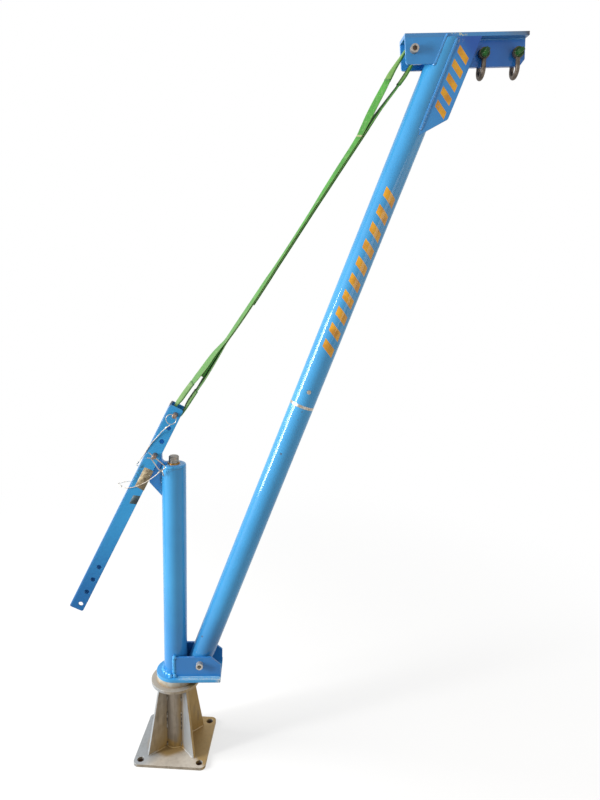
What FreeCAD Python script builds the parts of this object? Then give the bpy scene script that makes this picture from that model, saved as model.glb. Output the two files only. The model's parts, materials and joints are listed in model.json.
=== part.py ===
import FreeCAD, Part
import math
import os

V = FreeCAD.Vector

# Davit crane, in millimetres. Z is up, the slewing axis is the Z axis, the boom leans towards +X
# and the near side, with the bolt heads, is -Y. The origin is under the middle of the base plate.

# Tube stock shared by pedestal core, mast and boom
TUBE_OD = 60.3
TUBE_WALL = 5.0

# Pedestal
PLATE_SIDE = 190.0
PLATE_T = 8.0
PLATE_CORNER_R = 14.0
BOLT_PITCH = 155.0
BOLT_HOLE_D = 18.0
BASE_TURN = -5.3
PEDESTAL_H = 205.0
FLANGE_D = 128.0
FLANGE_T = 8.0
RIB_T = 6.0
RIB_FOOT_R = 88.0
RIB_TOP_R = 52.0
THRUST_D = 100.0
THRUST_T = 16.5

# Pivot post, stepped: foot in the pedestal, shaft in the mast, stub through the mast cap
POST_FOOT_D = 50.0
POST_D = 44.0
POST_STUB_D = 25.0
POST_BORE_D = 28.0
POST_BORE_STOP = 60.0
POST_STUB_DROP = 22.0
POST_STUB_RISE = 20.0
POST_CHAMFER = 2.0

# Mast
FOOT_PLATE_T = 8.0
FOOT_PLATE_R = 50.0
FOOT_PLATE_REACH = 122.0
FOOT_PLATE_CORNER_R = 4.0
MAST_TUBE_H = 567.5
CAP_T = 8.0
CAP_EDGE_R = 4.0
FOOT_BUSH_H = 40.0
TOP_BUSH_D = 30.0
TOP_BUSH_H = 18.0
TOP_BUSH_LIP_D = 28.0
TOP_BUSH_LIP_H = 3.0
CHEEK_T = 6.0
CHEEK_GAP = 62.0
CHEEK_START = 5.5
CHEEK_REACH = 121.5
CHEEK_H = 57.0
CHEEK_BEVEL_X = 25.0
CHEEK_BEVEL_Z = 22.0
FOOT_PIN_X = 67.0
FOOT_PIN_H = 37.3

# Rear lug at the mast head
LUG_T = 12.0
LUG_PIN_X = -42.0
LUG_PIN_RISE = 27.4
LUG_EYE_R = 13.5
LUG_BACK_X = -60.0
LUG_BACK_DROP = 48.2
LUG_FOOT_DROP = 83.0
LUG_TAB_H = 4.0
LUG_TAB_END_X = -16.0
LUG_FILLET_R = 9.0

# Boom
BOOM_LEAN = 19.6
BOOM_LENGTH = 1628.0
BOOM_TAIL = 22.0
FOOT_SLEEVE_D = 20.0
RING_AT = 737.0
RING_T = 7.0
SPIGOT_LENGTH = 200.0
SPIGOT_WALL = 6.0
SCREW_RISE = 40.0
SCREW_SHANK_D = 6.0
SCREW_HEAD_D = 10.0
SCREW_HEAD_H = 3.0
SCREW_LENGTH = 14.0

# Boom head. Its own axes are set at the point where the boom axis meets the top face.
HEAD_TILT = 3.9
HEAD_BACK = 106.5
HEAD_FRONT = 168.0
HEAD_HALF_W = 28.0
HEAD_TOP_T = 8.0
HEAD_SIDE_T = 6.0
HEAD_SIDE_DROP = 61.5
HEAD_SIDE_RAKE = 3.0
HEAD_CORNER_R = 6.0
HEAD_PIN_BACK = 86.9
HEAD_PIN_DROP = 32.3
HEAD_SLEEVE_D = 18.0
WEB_T = 10.0
WEB_DROP = 64.0
WEB_BEVEL_U = 11.0
WEB_BEVEL_W = 14.0
GUSSET_REACH = 61.0
GUSSET_STRAIGHT = 165.0
GUSSET_TOE = 220.0
GUSSET_TOE_IN = 14.0
GUSSET_CORNER_R = 6.0
SHACKLE_1_AT = 73.0
SHACKLE_2_AT = 149.4
SHACKLE_DROP = 38.5
SHACKLE_HOLE_D = 12.0

# Pivot bolts: socket head cap screws with plain washer and nut on the far side
BOLT_D = 12.0
BOLT_HEAD_D = 18.0
BOLT_HEAD_H = 12.0
BOLT_SOCKET_AF = 10.0
BOLT_SOCKET_DEPTH = 6.0
BOLT_END = 3.0
NUT_AF = 18.0
NUT_H = 10.8
WASHER_D = 24.0
WASHER_T = 2.5

# Bow shackles, one tonne pattern
SHACKLE_ROD_D = 10.0
SHACKLE_PIN_D = 11.0
SHACKLE_EYE_D = 24.0
SHACKLE_JAW = 17.0
SHACKLE_BOW_R = 18.0
SHACKLE_BOW_DROP = 30.0
SHACKLE_COLLAR_D = 20.0
SHACKLE_COLLAR_T = 4.0
SHACKLE_TAB_T = 8.0
SHACKLE_TAB_W = 18.0
SHACKLE_TAB_L = 15.0
SHACKLE_TAB_HOLE_D = 7.0
SHACKLE_TAB_TURNS = (62.0, 38.0)

# Adjuster bar, a channel with its web away from the mast
BAR_LEAN = 25.9
BAR_LENGTH = 594.0
BAR_HALF_W = 21.0
BAR_WALL = 4.0
BAR_FLANGE = 36.5
BAR_HOLE_LINE = 23.5
BAR_EDGE_R = 5.0
BAR_HOLE_D = 12.0
BAR_HOLE_PITCH = 38.0
BAR_HOLE_COUNT = 4
BAR_END_MARGIN = 17.0
BAR_CORNER_R = 5.0

# Clevis pins of the bar, their clip, rings and lanyards
PIN_D = 11.0
PIN_HEAD_D = 17.0
PIN_HEAD_T = 4.0
PIN_STAND_OUT = 21.5
PIN_CROSS_HOLE_D = 4.2
PIN_CROSS_AT = 16.5
PIN_CHAMFER = 1.5
CLIP_WIRE_D = 2.5
CLIP_HANG = -56.8
CLIP_BOW_R = 8.2
CLIP_BOW_AT = 30.1
CLIP_LEG = 17.5
CLIP_NECK = 2.0
CLIP_NECK_R = 3.0
CLIP_TIP_AT = 7.0
CLIP_TIP_OFF = 15.5
CLIP_BOW_EASE = 0.05
RING_WIRE_D = 1.8
RING_MEAN_R = 12.1
RING_SET = 224.0
SMALL_RING_WIRE_D = 1.5
SMALL_RING_MEAN_R = 8.5
SMALL_RING_TURN = 110.0
SMALL_RING_SLANT = 13.3
LANYARD_SLANT = 8.0
LANYARD_D = 1.8
FERRULE_D = 4.0
FERRULE_L = 7.0
LANYARD_BEND_SHARE = 0.45

# Tie sling, flat webbing sewn into an eye at each end, the top eye in a wear sleeve
SLING_WIDTH = 30.0
SLING_PLY = 4.0
SLING_SLEEVE = 8.0
SLING_EYE_HALF = 11.0
SLING_CROTCH = 16.0
SLING_LOW_EYE = 205.0
SLING_LOW_STRAIGHT = 115.0
SLING_TOP_EYE = 145.0
SLING_TOP_STRAIGHT = 76.0

# Clearances
SLEW_GAP = 0.2
RUN_FIT = 0.05
WELD_GAP = 0.15
SLIDE_FIT = 0.1
LOOSE_FIT = 0.5
SIDE_PLAY = 0.3
SLING_EASE = 0.4
FERRULE_EASE = 0.3
LANYARD_GAP = 0.1

# Derived heights and points
TUBE_R = TUBE_OD / 2
TUBE_IN_R = TUBE_R - TUBE_WALL
FLANGE_Z = PEDESTAL_H - FLANGE_T
RING_TOP_Z = PEDESTAL_H + THRUST_T
FOOT_Z = RING_TOP_Z + SLEW_GAP
FOOT_TOP_Z = FOOT_Z + FOOT_PLATE_T
TUBE_TOP_Z = FOOT_TOP_Z + MAST_TUBE_H
CAP_Z = TUBE_TOP_Z + CAP_T
FOOT_PIN = V(FOOT_PIN_X, 0, FOOT_TOP_Z + FOOT_PIN_H)
LUG_PIN = V(LUG_PIN_X, 0, CAP_Z + LUG_PIN_RISE)
CHEEK_OUT = CHEEK_GAP / 2 + CHEEK_T

BOOM_A = math.radians(BOOM_LEAN)
BOOM_AXIS = V(math.sin(BOOM_A), 0, math.cos(BOOM_A))
BOOM_OUT = V(math.cos(BOOM_A), 0, -math.sin(BOOM_A))
HEAD_A = math.radians(HEAD_TILT)
HEAD_U = V(math.cos(HEAD_A), 0, math.sin(HEAD_A))
HEAD_W = V(-math.sin(HEAD_A), 0, math.cos(HEAD_A))
BAR_A = math.radians(BAR_LEAN)
BAR_AXIS = V(math.sin(BAR_A), 0, math.cos(BAR_A))
BAR_BACK = V(-math.cos(BAR_A), 0, math.sin(BAR_A))
HEAD_AT = FOOT_PIN + BOOM_AXIS * BOOM_LENGTH
HEAD_PIN = HEAD_AT - HEAD_U * HEAD_PIN_BACK - HEAD_W * HEAD_PIN_DROP
BAR_TOP_HOLE = LUG_PIN + BAR_AXIS * (BAR_HOLE_PITCH * (BAR_HOLE_COUNT - 1))
BAR_TOP = BAR_HOLE_PITCH * (BAR_HOLE_COUNT - 1) + BAR_END_MARGIN
BAR_BOTTOM = BAR_TOP - BAR_LENGTH
CROSS_Y = -(BAR_HALF_W + PIN_CROSS_AT)
Y_AXIS = V(0, 1, 0)

os.makedirs("parts", exist_ok=True)


def save(node, shape):
    shape.exportStep("parts/" + node + ".step")


def cyl(radius, base, direction, length):
    return Part.makeCylinder(radius, length, base, direction)


def cross(radius, centre, y0, y1):
    return cyl(radius, V(centre.x, y0, centre.z), Y_AXIS, y1 - y0)


def plate(points, y0, y1):
    # flat plate standing in the boom plane, from its outline in X and Z
    loop = [V(p.x, y0, p.z) for p in points]
    face = Part.Face(Part.makePolygon(loop + [loop[0]]))
    return face.extrude(V(0, y1 - y0, 0))


def across_edges(solid, points, tolerance=0.01):
    # the edges of a standing plate that run along Y at the given outline corners
    found = []
    for edge in solid.Edges:
        a = edge.Vertexes[0].Point
        b = edge.Vertexes[-1].Point
        if abs(a.x - b.x) + abs(a.z - b.z) > tolerance:
            continue
        if any(abs(a.x - p.x) + abs(a.z - p.z) < tolerance for p in points):
            found.append(edge)
    return found


def hexagon(across_flats, centre, y0, y1):
    r = across_flats / math.sqrt(3)
    corners = []
    for k in range(6):
        a = math.radians(60 * k + 30)
        corners.append(centre + V(r * math.cos(a), 0, r * math.sin(a)))
    return plate(corners, y0, y1)


def bent_path(points, bends):
    # straight runs joined by tangent arcs, one bend radius per inner point
    edges = []
    last = points[0]
    for k in range(1, len(points) - 1):
        p = points[k]
        into = (p - points[k - 1]).normalize()
        out = (points[k + 1] - p).normalize()
        half = into.getAngle(out) / 2
        setback = bends[k - 1] * math.tan(half)
        start = p - into * setback
        end = p + out * setback
        inward = (out - into).normalize()
        middle = p + inward * (bends[k - 1] / math.cos(half) - bends[k - 1])
        edges.append(Part.makeLine(last, start))
        edges.append(Part.Arc(start, middle, end).toShape())
        last = end
    edges.append(Part.makeLine(last, points[-1]))
    return Part.Wire(edges)


def rod(path, diameter):
    first = path.OrderedEdges[0]
    start = first.valueAt(first.FirstParameter)
    heading = first.tangentAt(first.FirstParameter)
    ring = Part.Wire(Part.makeCircle(diameter / 2, start, heading))
    return path.makePipeShell([ring], True, False)


def natural_bends(points):
    # radius of each bend from the shorter of its two runs
    bends = []
    for k in range(1, len(points) - 1):
        into = points[k] - points[k - 1]
        out = points[k + 1] - points[k]
        half = into.getAngle(out) / 2
        bends.append(LANYARD_BEND_SHARE * min(into.Length, out.Length) / math.tan(half))
    return bends


# Pedestal: square plate, core tube, four diagonal ribs and a round flange, all welded
half_side = PLATE_SIDE / 2
base_plate = Part.makeBox(PLATE_SIDE, PLATE_SIDE, PLATE_T, V(-half_side, -half_side, 0))
uprights = [e for e in base_plate.Edges if abs(e.Vertexes[0].Z - e.Vertexes[-1].Z) > PLATE_T / 2]
base_plate = base_plate.makeFillet(PLATE_CORNER_R, uprights)
for sx in (-1, 1):
    for sy in (-1, 1):
        at = V(sx * BOLT_PITCH / 2, sy * BOLT_PITCH / 2, 0)
        base_plate = base_plate.cut(cyl(BOLT_HOLE_D / 2, at, V(0, 0, 1), PLATE_T))
base_plate.rotate(V(0, 0, 0), V(0, 0, 1), BASE_TURN)
save("base_plate", base_plate)

core_h = FLANGE_Z - PLATE_T
core = cyl(TUBE_R, V(0, 0, PLATE_T), V(0, 0, 1), core_h)
core = core.cut(cyl(TUBE_IN_R, V(0, 0, PLATE_T), V(0, 0, 1), core_h))
save("pedestal_core", core)

rib_in = TUBE_R + WELD_GAP
rib_outline = [
    V(rib_in, 0, PLATE_T),
    V(RIB_FOOT_R, 0, PLATE_T),
    V(RIB_TOP_R, 0, FLANGE_Z),
    V(rib_in, 0, FLANGE_Z),
]
for k in range(4):
    rib = plate(rib_outline, -RIB_T / 2, RIB_T / 2)
    rib.rotate(V(0, 0, 0), V(0, 0, 1), BASE_TURN + 45 + 90 * k)
    save("pedestal_rib_%d" % (k + 1), rib)

flange = cyl(FLANGE_D / 2, V(0, 0, FLANGE_Z), V(0, 0, 1), FLANGE_T)
flange = flange.cut(cyl(POST_FOOT_D / 2 + SLIDE_FIT, V(0, 0, FLANGE_Z), V(0, 0, 1), FLANGE_T))
save("pedestal_flange", flange)

# Pivot post, fixed in the pedestal, and the thrust ring the mast turns on
stub_z = CAP_Z - POST_STUB_DROP
post_top = CAP_Z + POST_STUB_RISE
post = cyl(POST_FOOT_D / 2, V(0, 0, PLATE_T), V(0, 0, 1), PEDESTAL_H - PLATE_T)
post = post.fuse(cyl(POST_D / 2, V(0, 0, PEDESTAL_H), V(0, 0, 1), stub_z - PEDESTAL_H))
post = post.fuse(cyl(POST_STUB_D / 2, V(0, 0, stub_z), V(0, 0, 1), post_top - stub_z))
post = post.cut(cyl(POST_BORE_D / 2, V(0, 0, PLATE_T), V(0, 0, 1), stub_z - POST_BORE_STOP - PLATE_T))
rim = [e for e in post.Edges if all(abs(v.Z - post_top) < 0.01 for v in e.Vertexes)]
post = post.makeChamfer(POST_CHAMFER, rim)
save("pivot_post", post)

thrust = cyl(THRUST_D / 2, V(0, 0, PEDESTAL_H), V(0, 0, 1), THRUST_T)
thrust = thrust.cut(cyl(POST_D / 2 + LOOSE_FIT, V(0, 0, PEDESTAL_H), V(0, 0, 1), THRUST_T))
save("thrust_ring", thrust)

# Mast: foot plate with a round end, tube, two cheeks, cap and bushes
foot_plate = cyl(FOOT_PLATE_R, V(0, 0, FOOT_Z), V(0, 0, 1), FOOT_PLATE_T)
foot_plate = foot_plate.fuse(
    Part.makeBox(FOOT_PLATE_REACH, 2 * FOOT_PLATE_R, FOOT_PLATE_T, V(0, -FOOT_PLATE_R, FOOT_Z)))
foot_plate = foot_plate.removeSplitter()
plate_corners = []
for edge in foot_plate.Edges:
    if abs(edge.Vertexes[0].Z - edge.Vertexes[-1].Z) > FOOT_PLATE_T / 2:
        if edge.Vertexes[0].X > FOOT_PLATE_REACH - 1:
            plate_corners.append(edge)
foot_plate = foot_plate.makeFillet(FOOT_PLATE_CORNER_R, plate_corners)
bush_out = TUBE_IN_R - WELD_GAP
foot_plate = foot_plate.cut(cyl(bush_out + SLIDE_FIT, V(0, 0, FOOT_Z), V(0, 0, 1), FOOT_PLATE_T))
save("mast_foot_plate", foot_plate)

mast = cyl(TUBE_R, V(0, 0, FOOT_TOP_Z), V(0, 0, 1), MAST_TUBE_H)
mast = mast.cut(cyl(TUBE_IN_R, V(0, 0, FOOT_TOP_Z), V(0, 0, 1), MAST_TUBE_H))
save("mast_tube", mast)

foot_bush = cyl(bush_out, V(0, 0, FOOT_Z), V(0, 0, 1), FOOT_BUSH_H)
foot_bush = foot_bush.cut(cyl(POST_D / 2 + RUN_FIT, V(0, 0, FOOT_Z), V(0, 0, 1), FOOT_BUSH_H))
save("mast_foot_bush", foot_bush)

cheek_top = FOOT_TOP_Z + CHEEK_H
cheek_outline = [
    V(CHEEK_START, 0, FOOT_TOP_Z),
    V(CHEEK_REACH, 0, FOOT_TOP_Z),
    V(CHEEK_REACH, 0, cheek_top - CHEEK_BEVEL_Z),
    V(CHEEK_REACH - CHEEK_BEVEL_X, 0, cheek_top),
    V(CHEEK_START, 0, cheek_top),
]
for name, y0 in (("near", -CHEEK_OUT), ("far", CHEEK_GAP / 2)):
    cheek = plate(cheek_outline, y0, y0 + CHEEK_T)
    cheek = cheek.cut(cross(BOLT_D / 2 + SLIDE_FIT, FOOT_PIN, y0, y0 + CHEEK_T))
    save("mast_cheek_" + name, cheek)

cap = cyl(TUBE_R, V(0, 0, TUBE_TOP_Z), V(0, 0, 1), CAP_T)
cap_rim = [e for e in cap.Edges if len(e.Vertexes) == 1 and abs(e.Vertexes[0].Z - CAP_Z) < 0.01]
cap = cap.makeFillet(CAP_EDGE_R, cap_rim)
cap = cap.cut(cyl(TOP_BUSH_D / 2 + WELD_GAP, V(0, 0, TUBE_TOP_Z), V(0, 0, 1), CAP_T))
save("mast_cap", cap)

top_bush = cyl(TOP_BUSH_D / 2, V(0, 0, CAP_Z - TOP_BUSH_H), V(0, 0, 1), TOP_BUSH_H)
top_bush = top_bush.fuse(cyl(TOP_BUSH_LIP_D / 2, V(0, 0, CAP_Z), V(0, 0, 1), TOP_BUSH_LIP_H))
bush_span = TOP_BUSH_H + TOP_BUSH_LIP_H
top_bush = top_bush.cut(cyl(POST_STUB_D / 2 + RUN_FIT, V(0, 0, CAP_Z - TOP_BUSH_H), V(0, 0, 1), bush_span))
save("mast_top_bush", top_bush)

# Rear lug: a plate on the back of the mast head with an eye for the adjuster bar's pin
lug_inner = V(LUG_PIN_X + LUG_EYE_R, 0, CAP_Z + LUG_TAB_H)
lug_outline = [
    V(0, 0, CAP_Z - LUG_FOOT_DROP),
    V(-TUBE_R, 0, CAP_Z - LUG_FOOT_DROP),
    V(LUG_BACK_X, 0, CAP_Z - LUG_BACK_DROP),
    V(LUG_PIN_X - LUG_EYE_R, 0, LUG_PIN.z),
    V(LUG_PIN_X + LUG_EYE_R, 0, LUG_PIN.z),
    lug_inner,
    V(LUG_TAB_END_X, 0, CAP_Z + LUG_TAB_H),
    V(LUG_TAB_END_X, 0, CAP_Z),
    V(0, 0, CAP_Z),
]
lug = plate(lug_outline, -LUG_T / 2, LUG_T / 2)
lug = lug.makeFillet(LUG_FILLET_R, across_edges(lug, [lug_inner]))
lug = lug.fuse(cross(LUG_EYE_R, LUG_PIN, -LUG_T / 2, LUG_T / 2))
lug = lug.cut(cross(PIN_D / 2 + RUN_FIT, LUG_PIN, -LUG_T / 2, LUG_T / 2))
lug = lug.cut(cyl(TUBE_R + WELD_GAP, V(0, 0, FOOT_TOP_Z), V(0, 0, 1), CAP_Z - FOOT_TOP_Z))
save("mast_lug", lug.removeSplitter())


# Pivot bolts with washer and nut
def pivot_bolt(prefix, centre, seat):
    bolt = cross(BOLT_D / 2, centre, -seat, seat + WASHER_T + NUT_H + BOLT_END)
    head = cross(BOLT_HEAD_D / 2, centre, -seat - BOLT_HEAD_H, -seat)
    face = -seat - BOLT_HEAD_H
    bolt = bolt.fuse(head)
    bolt = bolt.cut(hexagon(BOLT_SOCKET_AF, centre, face, face + BOLT_SOCKET_DEPTH))
    save(prefix + "_bolt", bolt)
    washer = cross(WASHER_D / 2, centre, seat, seat + WASHER_T)
    washer = washer.cut(cross(BOLT_D / 2 + SLIDE_FIT, centre, seat, seat + WASHER_T))
    save(prefix + "_washer", washer)
    nut = hexagon(NUT_AF, centre, seat + WASHER_T, seat + WASHER_T + NUT_H)
    nut = nut.cut(cross(BOLT_D / 2 + RUN_FIT, centre, seat + WASHER_T, seat + WASHER_T + NUT_H))
    save(prefix + "_nut", nut)


pivot_bolt("foot", FOOT_PIN, CHEEK_OUT)
pivot_bolt("head", HEAD_PIN, HEAD_HALF_W)

# Boom: lower tube with cross sleeve, joint ring on an inner spigot, upper tube
lower_from = FOOT_PIN - BOOM_AXIS * BOOM_TAIL
lower_len = BOOM_TAIL + RING_AT - RING_T / 2
sleeve_half = CHEEK_GAP / 2 - SIDE_PLAY
lower = cyl(TUBE_R, lower_from, BOOM_AXIS, lower_len)
lower = lower.cut(cyl(TUBE_IN_R, lower_from, BOOM_AXIS, lower_len))
lower = lower.cut(cross(FOOT_SLEEVE_D / 2 + WELD_GAP, FOOT_PIN, -sleeve_half, sleeve_half))
save("boom_lower_tube", lower)

sleeve = cross(FOOT_SLEEVE_D / 2, FOOT_PIN, -sleeve_half, sleeve_half)
sleeve = sleeve.cut(cross(BOLT_D / 2 + RUN_FIT, FOOT_PIN, -sleeve_half, sleeve_half))
save("boom_foot_sleeve", sleeve)

ring_from = FOOT_PIN + BOOM_AXIS * (RING_AT - RING_T / 2)
spigot_r = TUBE_IN_R - SLIDE_FIT
ring = cyl(TUBE_R, ring_from, BOOM_AXIS, RING_T)
ring = ring.cut(cyl(spigot_r + SLIDE_FIT, ring_from, BOOM_AXIS, RING_T))
save("boom_joint_ring", ring)

screw_at = FOOT_PIN + BOOM_AXIS * (RING_AT + SCREW_RISE)
screw_out = -TUBE_R - SCREW_HEAD_H / 2
screw = cross(SCREW_SHANK_D / 2, screw_at, screw_out, screw_out + SCREW_LENGTH)
screw_top = screw_out - SCREW_HEAD_H / 2
screw = screw.fuse(cross(SCREW_HEAD_D / 2, screw_at, screw_top, screw_out + SCREW_HEAD_H))
save("boom_joint_screw", screw)
screw_hole = cross(SCREW_SHANK_D / 2 + SLIDE_FIT, screw_at, -TUBE_OD, 0)
screw_seat = cross(SCREW_HEAD_D / 2 + SLIDE_FIT, screw_at, -TUBE_OD, screw_out + SCREW_HEAD_H)

spigot_from = FOOT_PIN + BOOM_AXIS * (RING_AT - SPIGOT_LENGTH / 2)
spigot = cyl(spigot_r, spigot_from, BOOM_AXIS, SPIGOT_LENGTH)
spigot = spigot.cut(cyl(spigot_r - SPIGOT_WALL, spigot_from, BOOM_AXIS, SPIGOT_LENGTH))
spigot = spigot.cut(screw_hole)
save("boom_joint_spigot", spigot)

upper_from = ring_from + BOOM_AXIS * RING_T
upper_len = BOOM_LENGTH + TUBE_R - RING_AT
upper = cyl(TUBE_R, upper_from, BOOM_AXIS, upper_len)
upper = upper.cut(cyl(TUBE_IN_R, upper_from, BOOM_AXIS, upper_len))
under = HEAD_AT - HEAD_W * HEAD_TOP_T
above = [under - HEAD_U * HEAD_BACK, under + HEAD_U * HEAD_FRONT]
above = above + [p + HEAD_W * (2 * TUBE_OD) for p in reversed(above)]
upper = upper.cut(plate(above, -TUBE_OD, TUBE_OD))
upper = upper.cut(screw_hole).cut(screw_seat)
save("boom_upper_tube", upper)


# Boom head: top plate, side plates towards the sling, web for the shackles, gusset on the near side
def head_point(u, w):
    return HEAD_AT + HEAD_U * u + HEAD_W * w


top_outline = [
    head_point(-HEAD_BACK, -HEAD_TOP_T),
    head_point(HEAD_FRONT, -HEAD_TOP_T),
    head_point(HEAD_FRONT, 0),
    head_point(-HEAD_BACK, 0),
]
save("head_top_plate", plate(top_outline, -HEAD_HALF_W, HEAD_HALF_W))

boom_room = cyl(TUBE_R + WELD_GAP, FOOT_PIN, BOOM_AXIS, BOOM_LENGTH + TUBE_OD)
head_lean = BOOM_A + HEAD_A
side_corner = head_point(-HEAD_BACK + HEAD_SIDE_RAKE, -HEAD_SIDE_DROP)
side_outline = [
    head_point(-HEAD_BACK, -HEAD_TOP_T),
    side_corner,
    head_point(-HEAD_SIDE_DROP * math.tan(head_lean), -HEAD_SIDE_DROP),
    head_point(-HEAD_TOP_T * math.tan(head_lean), -HEAD_TOP_T),
]
gusset_corner = HEAD_AT - BOOM_AXIS * GUSSET_STRAIGHT + BOOM_OUT * GUSSET_REACH
gusset_top_u = (GUSSET_REACH - HEAD_TOP_T * math.sin(head_lean)) / math.cos(head_lean)
gusset_top = head_point(gusset_top_u, -HEAD_TOP_T)
gusset_outline = [
    head_point(0, -HEAD_TOP_T),
    HEAD_AT - BOOM_AXIS * GUSSET_TOE,
    HEAD_AT - BOOM_AXIS * GUSSET_TOE + BOOM_OUT * GUSSET_TOE_IN,
    gusset_corner,
    gusset_top,
]
for name, y0 in (("near", -HEAD_HALF_W), ("far", HEAD_HALF_W - HEAD_SIDE_T)):
    y1 = y0 + HEAD_SIDE_T
    side = plate(side_outline, y0, y1)
    side = side.makeFillet(HEAD_CORNER_R, across_edges(side, [side_corner]))
    side = side.cut(cross(BOLT_D / 2 + SLIDE_FIT, HEAD_PIN, y0, y1))
    side = side.cut(boom_room)
    save("head_side_" + name, max(side.Solids, key=lambda s: s.Volume))

gusset = plate(gusset_outline, -HEAD_HALF_W, -HEAD_HALF_W + HEAD_SIDE_T)
gusset = gusset.makeFillet(GUSSET_CORNER_R, across_edges(gusset, [gusset_corner]))
gusset = gusset.cut(boom_room)
save("head_gusset", max(gusset.Solids, key=lambda s: s.Volume))

web_outline = [
    head_point(-TUBE_R / 2, -HEAD_TOP_T),
    head_point(-TUBE_R / 2, -WEB_DROP),
    head_point(HEAD_FRONT - WEB_BEVEL_U, -WEB_DROP),
    head_point(HEAD_FRONT, -WEB_DROP + WEB_BEVEL_W),
    head_point(HEAD_FRONT, -HEAD_TOP_T),
]
web = plate(web_outline, -WEB_T / 2, WEB_T / 2)
shackle_pins = [head_point(SHACKLE_1_AT, -SHACKLE_DROP), head_point(SHACKLE_2_AT, -SHACKLE_DROP)]
for p in shackle_pins:
    web = web.cut(cross(SHACKLE_HOLE_D / 2, p, -WEB_T, WEB_T))
web = web.cut(boom_room)
save("head_web", max(web.Solids, key=lambda s: s.Volume))

head_sleeve_half = HEAD_HALF_W - HEAD_SIDE_T - SIDE_PLAY
head_sleeve = cross(HEAD_SLEEVE_D / 2, HEAD_PIN, -head_sleeve_half, head_sleeve_half)
head_sleeve = head_sleeve.cut(cross(BOLT_D / 2 + SLIDE_FIT, HEAD_PIN, -head_sleeve_half, head_sleeve_half))
save("head_sleeve", head_sleeve)

# Bow shackles hanging from the web, each with its collared screw pin
for number, pin_at, turn in zip((1, 2), shackle_pins, SHACKLE_TAB_TURNS):
    eye_y = (SHACKLE_JAW + SHACKLE_ROD_D) / 2
    eye_face = SHACKLE_JAW / 2 + SHACKLE_ROD_D
    legs = []
    for s in (-1, 1):
        top = V(pin_at.x, s * eye_y, pin_at.z)
        low = V(pin_at.x, s * SHACKLE_BOW_R, pin_at.z - SHACKLE_BOW_DROP)
        legs.append((top, low))
    bottom = V(pin_at.x, 0, pin_at.z - SHACKLE_BOW_DROP - SHACKLE_BOW_R)
    run = Part.Wire([
        Part.makeLine(legs[0][0], legs[0][1]),
        Part.Arc(legs[0][1], bottom, legs[1][1]).toShape(),
        Part.makeLine(legs[1][1], legs[1][0]),
    ])
    section = Part.Wire(Part.makeCircle(SHACKLE_ROD_D / 2, legs[0][0], legs[0][1] - legs[0][0]))
    bow = run.makePipeShell([section], True, False, 2)
    for s in (-1, 1):
        y0 = min(s * SHACKLE_JAW / 2, s * eye_face)
        bow = bow.fuse(cross(SHACKLE_EYE_D / 2, pin_at, y0, y0 + SHACKLE_ROD_D))
    jaw = cross(SHACKLE_EYE_D / 2, pin_at, -SHACKLE_JAW / 2, SHACKLE_JAW / 2)
    bow = bow.cut(jaw)
    bow = bow.cut(cross(SHACKLE_PIN_D / 2 + SLIDE_FIT, pin_at, -2 * eye_face, 2 * eye_face))
    bow = bow.cut(cross(SHACKLE_COLLAR_D / 2 + SLIDE_FIT, pin_at, -2 * eye_face, -eye_face))
    save("shackle_%d_bow" % number, max(bow.Solids, key=lambda s: s.Volume))
    pin = cross(SHACKLE_PIN_D / 2, pin_at, -eye_face, eye_face)
    collar_y = -eye_face - SHACKLE_COLLAR_T
    pin = pin.fuse(cross(SHACKLE_COLLAR_D / 2, pin_at, collar_y, -eye_face))
    tab = Part.makeBox(SHACKLE_TAB_W, SHACKLE_TAB_L - SHACKLE_TAB_W / 2, SHACKLE_TAB_T)
    tab.translate(V(-SHACKLE_TAB_W / 2, SHACKLE_TAB_W / 2 - SHACKLE_TAB_L, -SHACKLE_TAB_T / 2))
    nose_at = V(0, SHACKLE_TAB_W / 2 - SHACKLE_TAB_L, -SHACKLE_TAB_T / 2)
    nose = cyl(SHACKLE_TAB_W / 2, nose_at, V(0, 0, 1), SHACKLE_TAB_T)
    eye = cyl(SHACKLE_TAB_HOLE_D / 2, nose_at, V(0, 0, 1), SHACKLE_TAB_T)
    tab = tab.fuse(nose).cut(eye)
    tab.rotate(V(0, 0, 0), Y_AXIS, -turn)
    tab.translate(V(pin_at.x, collar_y, pin_at.z))
    save("shackle_%d_pin" % number, pin.fuse(tab).removeSplitter())


# Adjuster bar: channel with a row of holes at each end
def bar_point(along, back, y=0.0):
    p = LUG_PIN + BAR_AXIS * along + BAR_BACK * back
    return V(p.x, y, p.z)


front = BAR_HOLE_LINE - BAR_FLANGE
inner_back = BAR_HOLE_LINE - BAR_WALL
inner_w = BAR_HALF_W - BAR_WALL
section = [
    bar_point(BAR_BOTTOM, front, -BAR_HALF_W),
    bar_point(BAR_BOTTOM, BAR_HOLE_LINE, -BAR_HALF_W),
    bar_point(BAR_BOTTOM, BAR_HOLE_LINE, BAR_HALF_W),
    bar_point(BAR_BOTTOM, front, BAR_HALF_W),
]
bar = Part.Face(Part.makePolygon(section + [section[0]])).extrude(BAR_AXIS * BAR_LENGTH)
long_edges = []
for e in bar.Edges:
    mid = (e.Vertexes[0].Point + e.Vertexes[-1].Point) * 0.5
    if abs(e.Length - BAR_LENGTH) < 0.01 and (mid - LUG_PIN).dot(BAR_BACK) > BAR_HOLE_LINE / 2:
        long_edges.append(e)
bar = bar.makeFillet(BAR_EDGE_R, long_edges)
corner_edges = []
for e in bar.Edges:
    mid = (e.Vertexes[0].Point + e.Vertexes[-1].Point) * 0.5
    if abs(abs((e.Vertexes[0].Point - e.Vertexes[-1].Point).y) - 2 * BAR_HALF_W) < 0.01:
        if (mid - LUG_PIN).dot(BAR_BACK) < 0:
            corner_edges.append(e)
bar = bar.makeFillet(BAR_CORNER_R, corner_edges)
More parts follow.
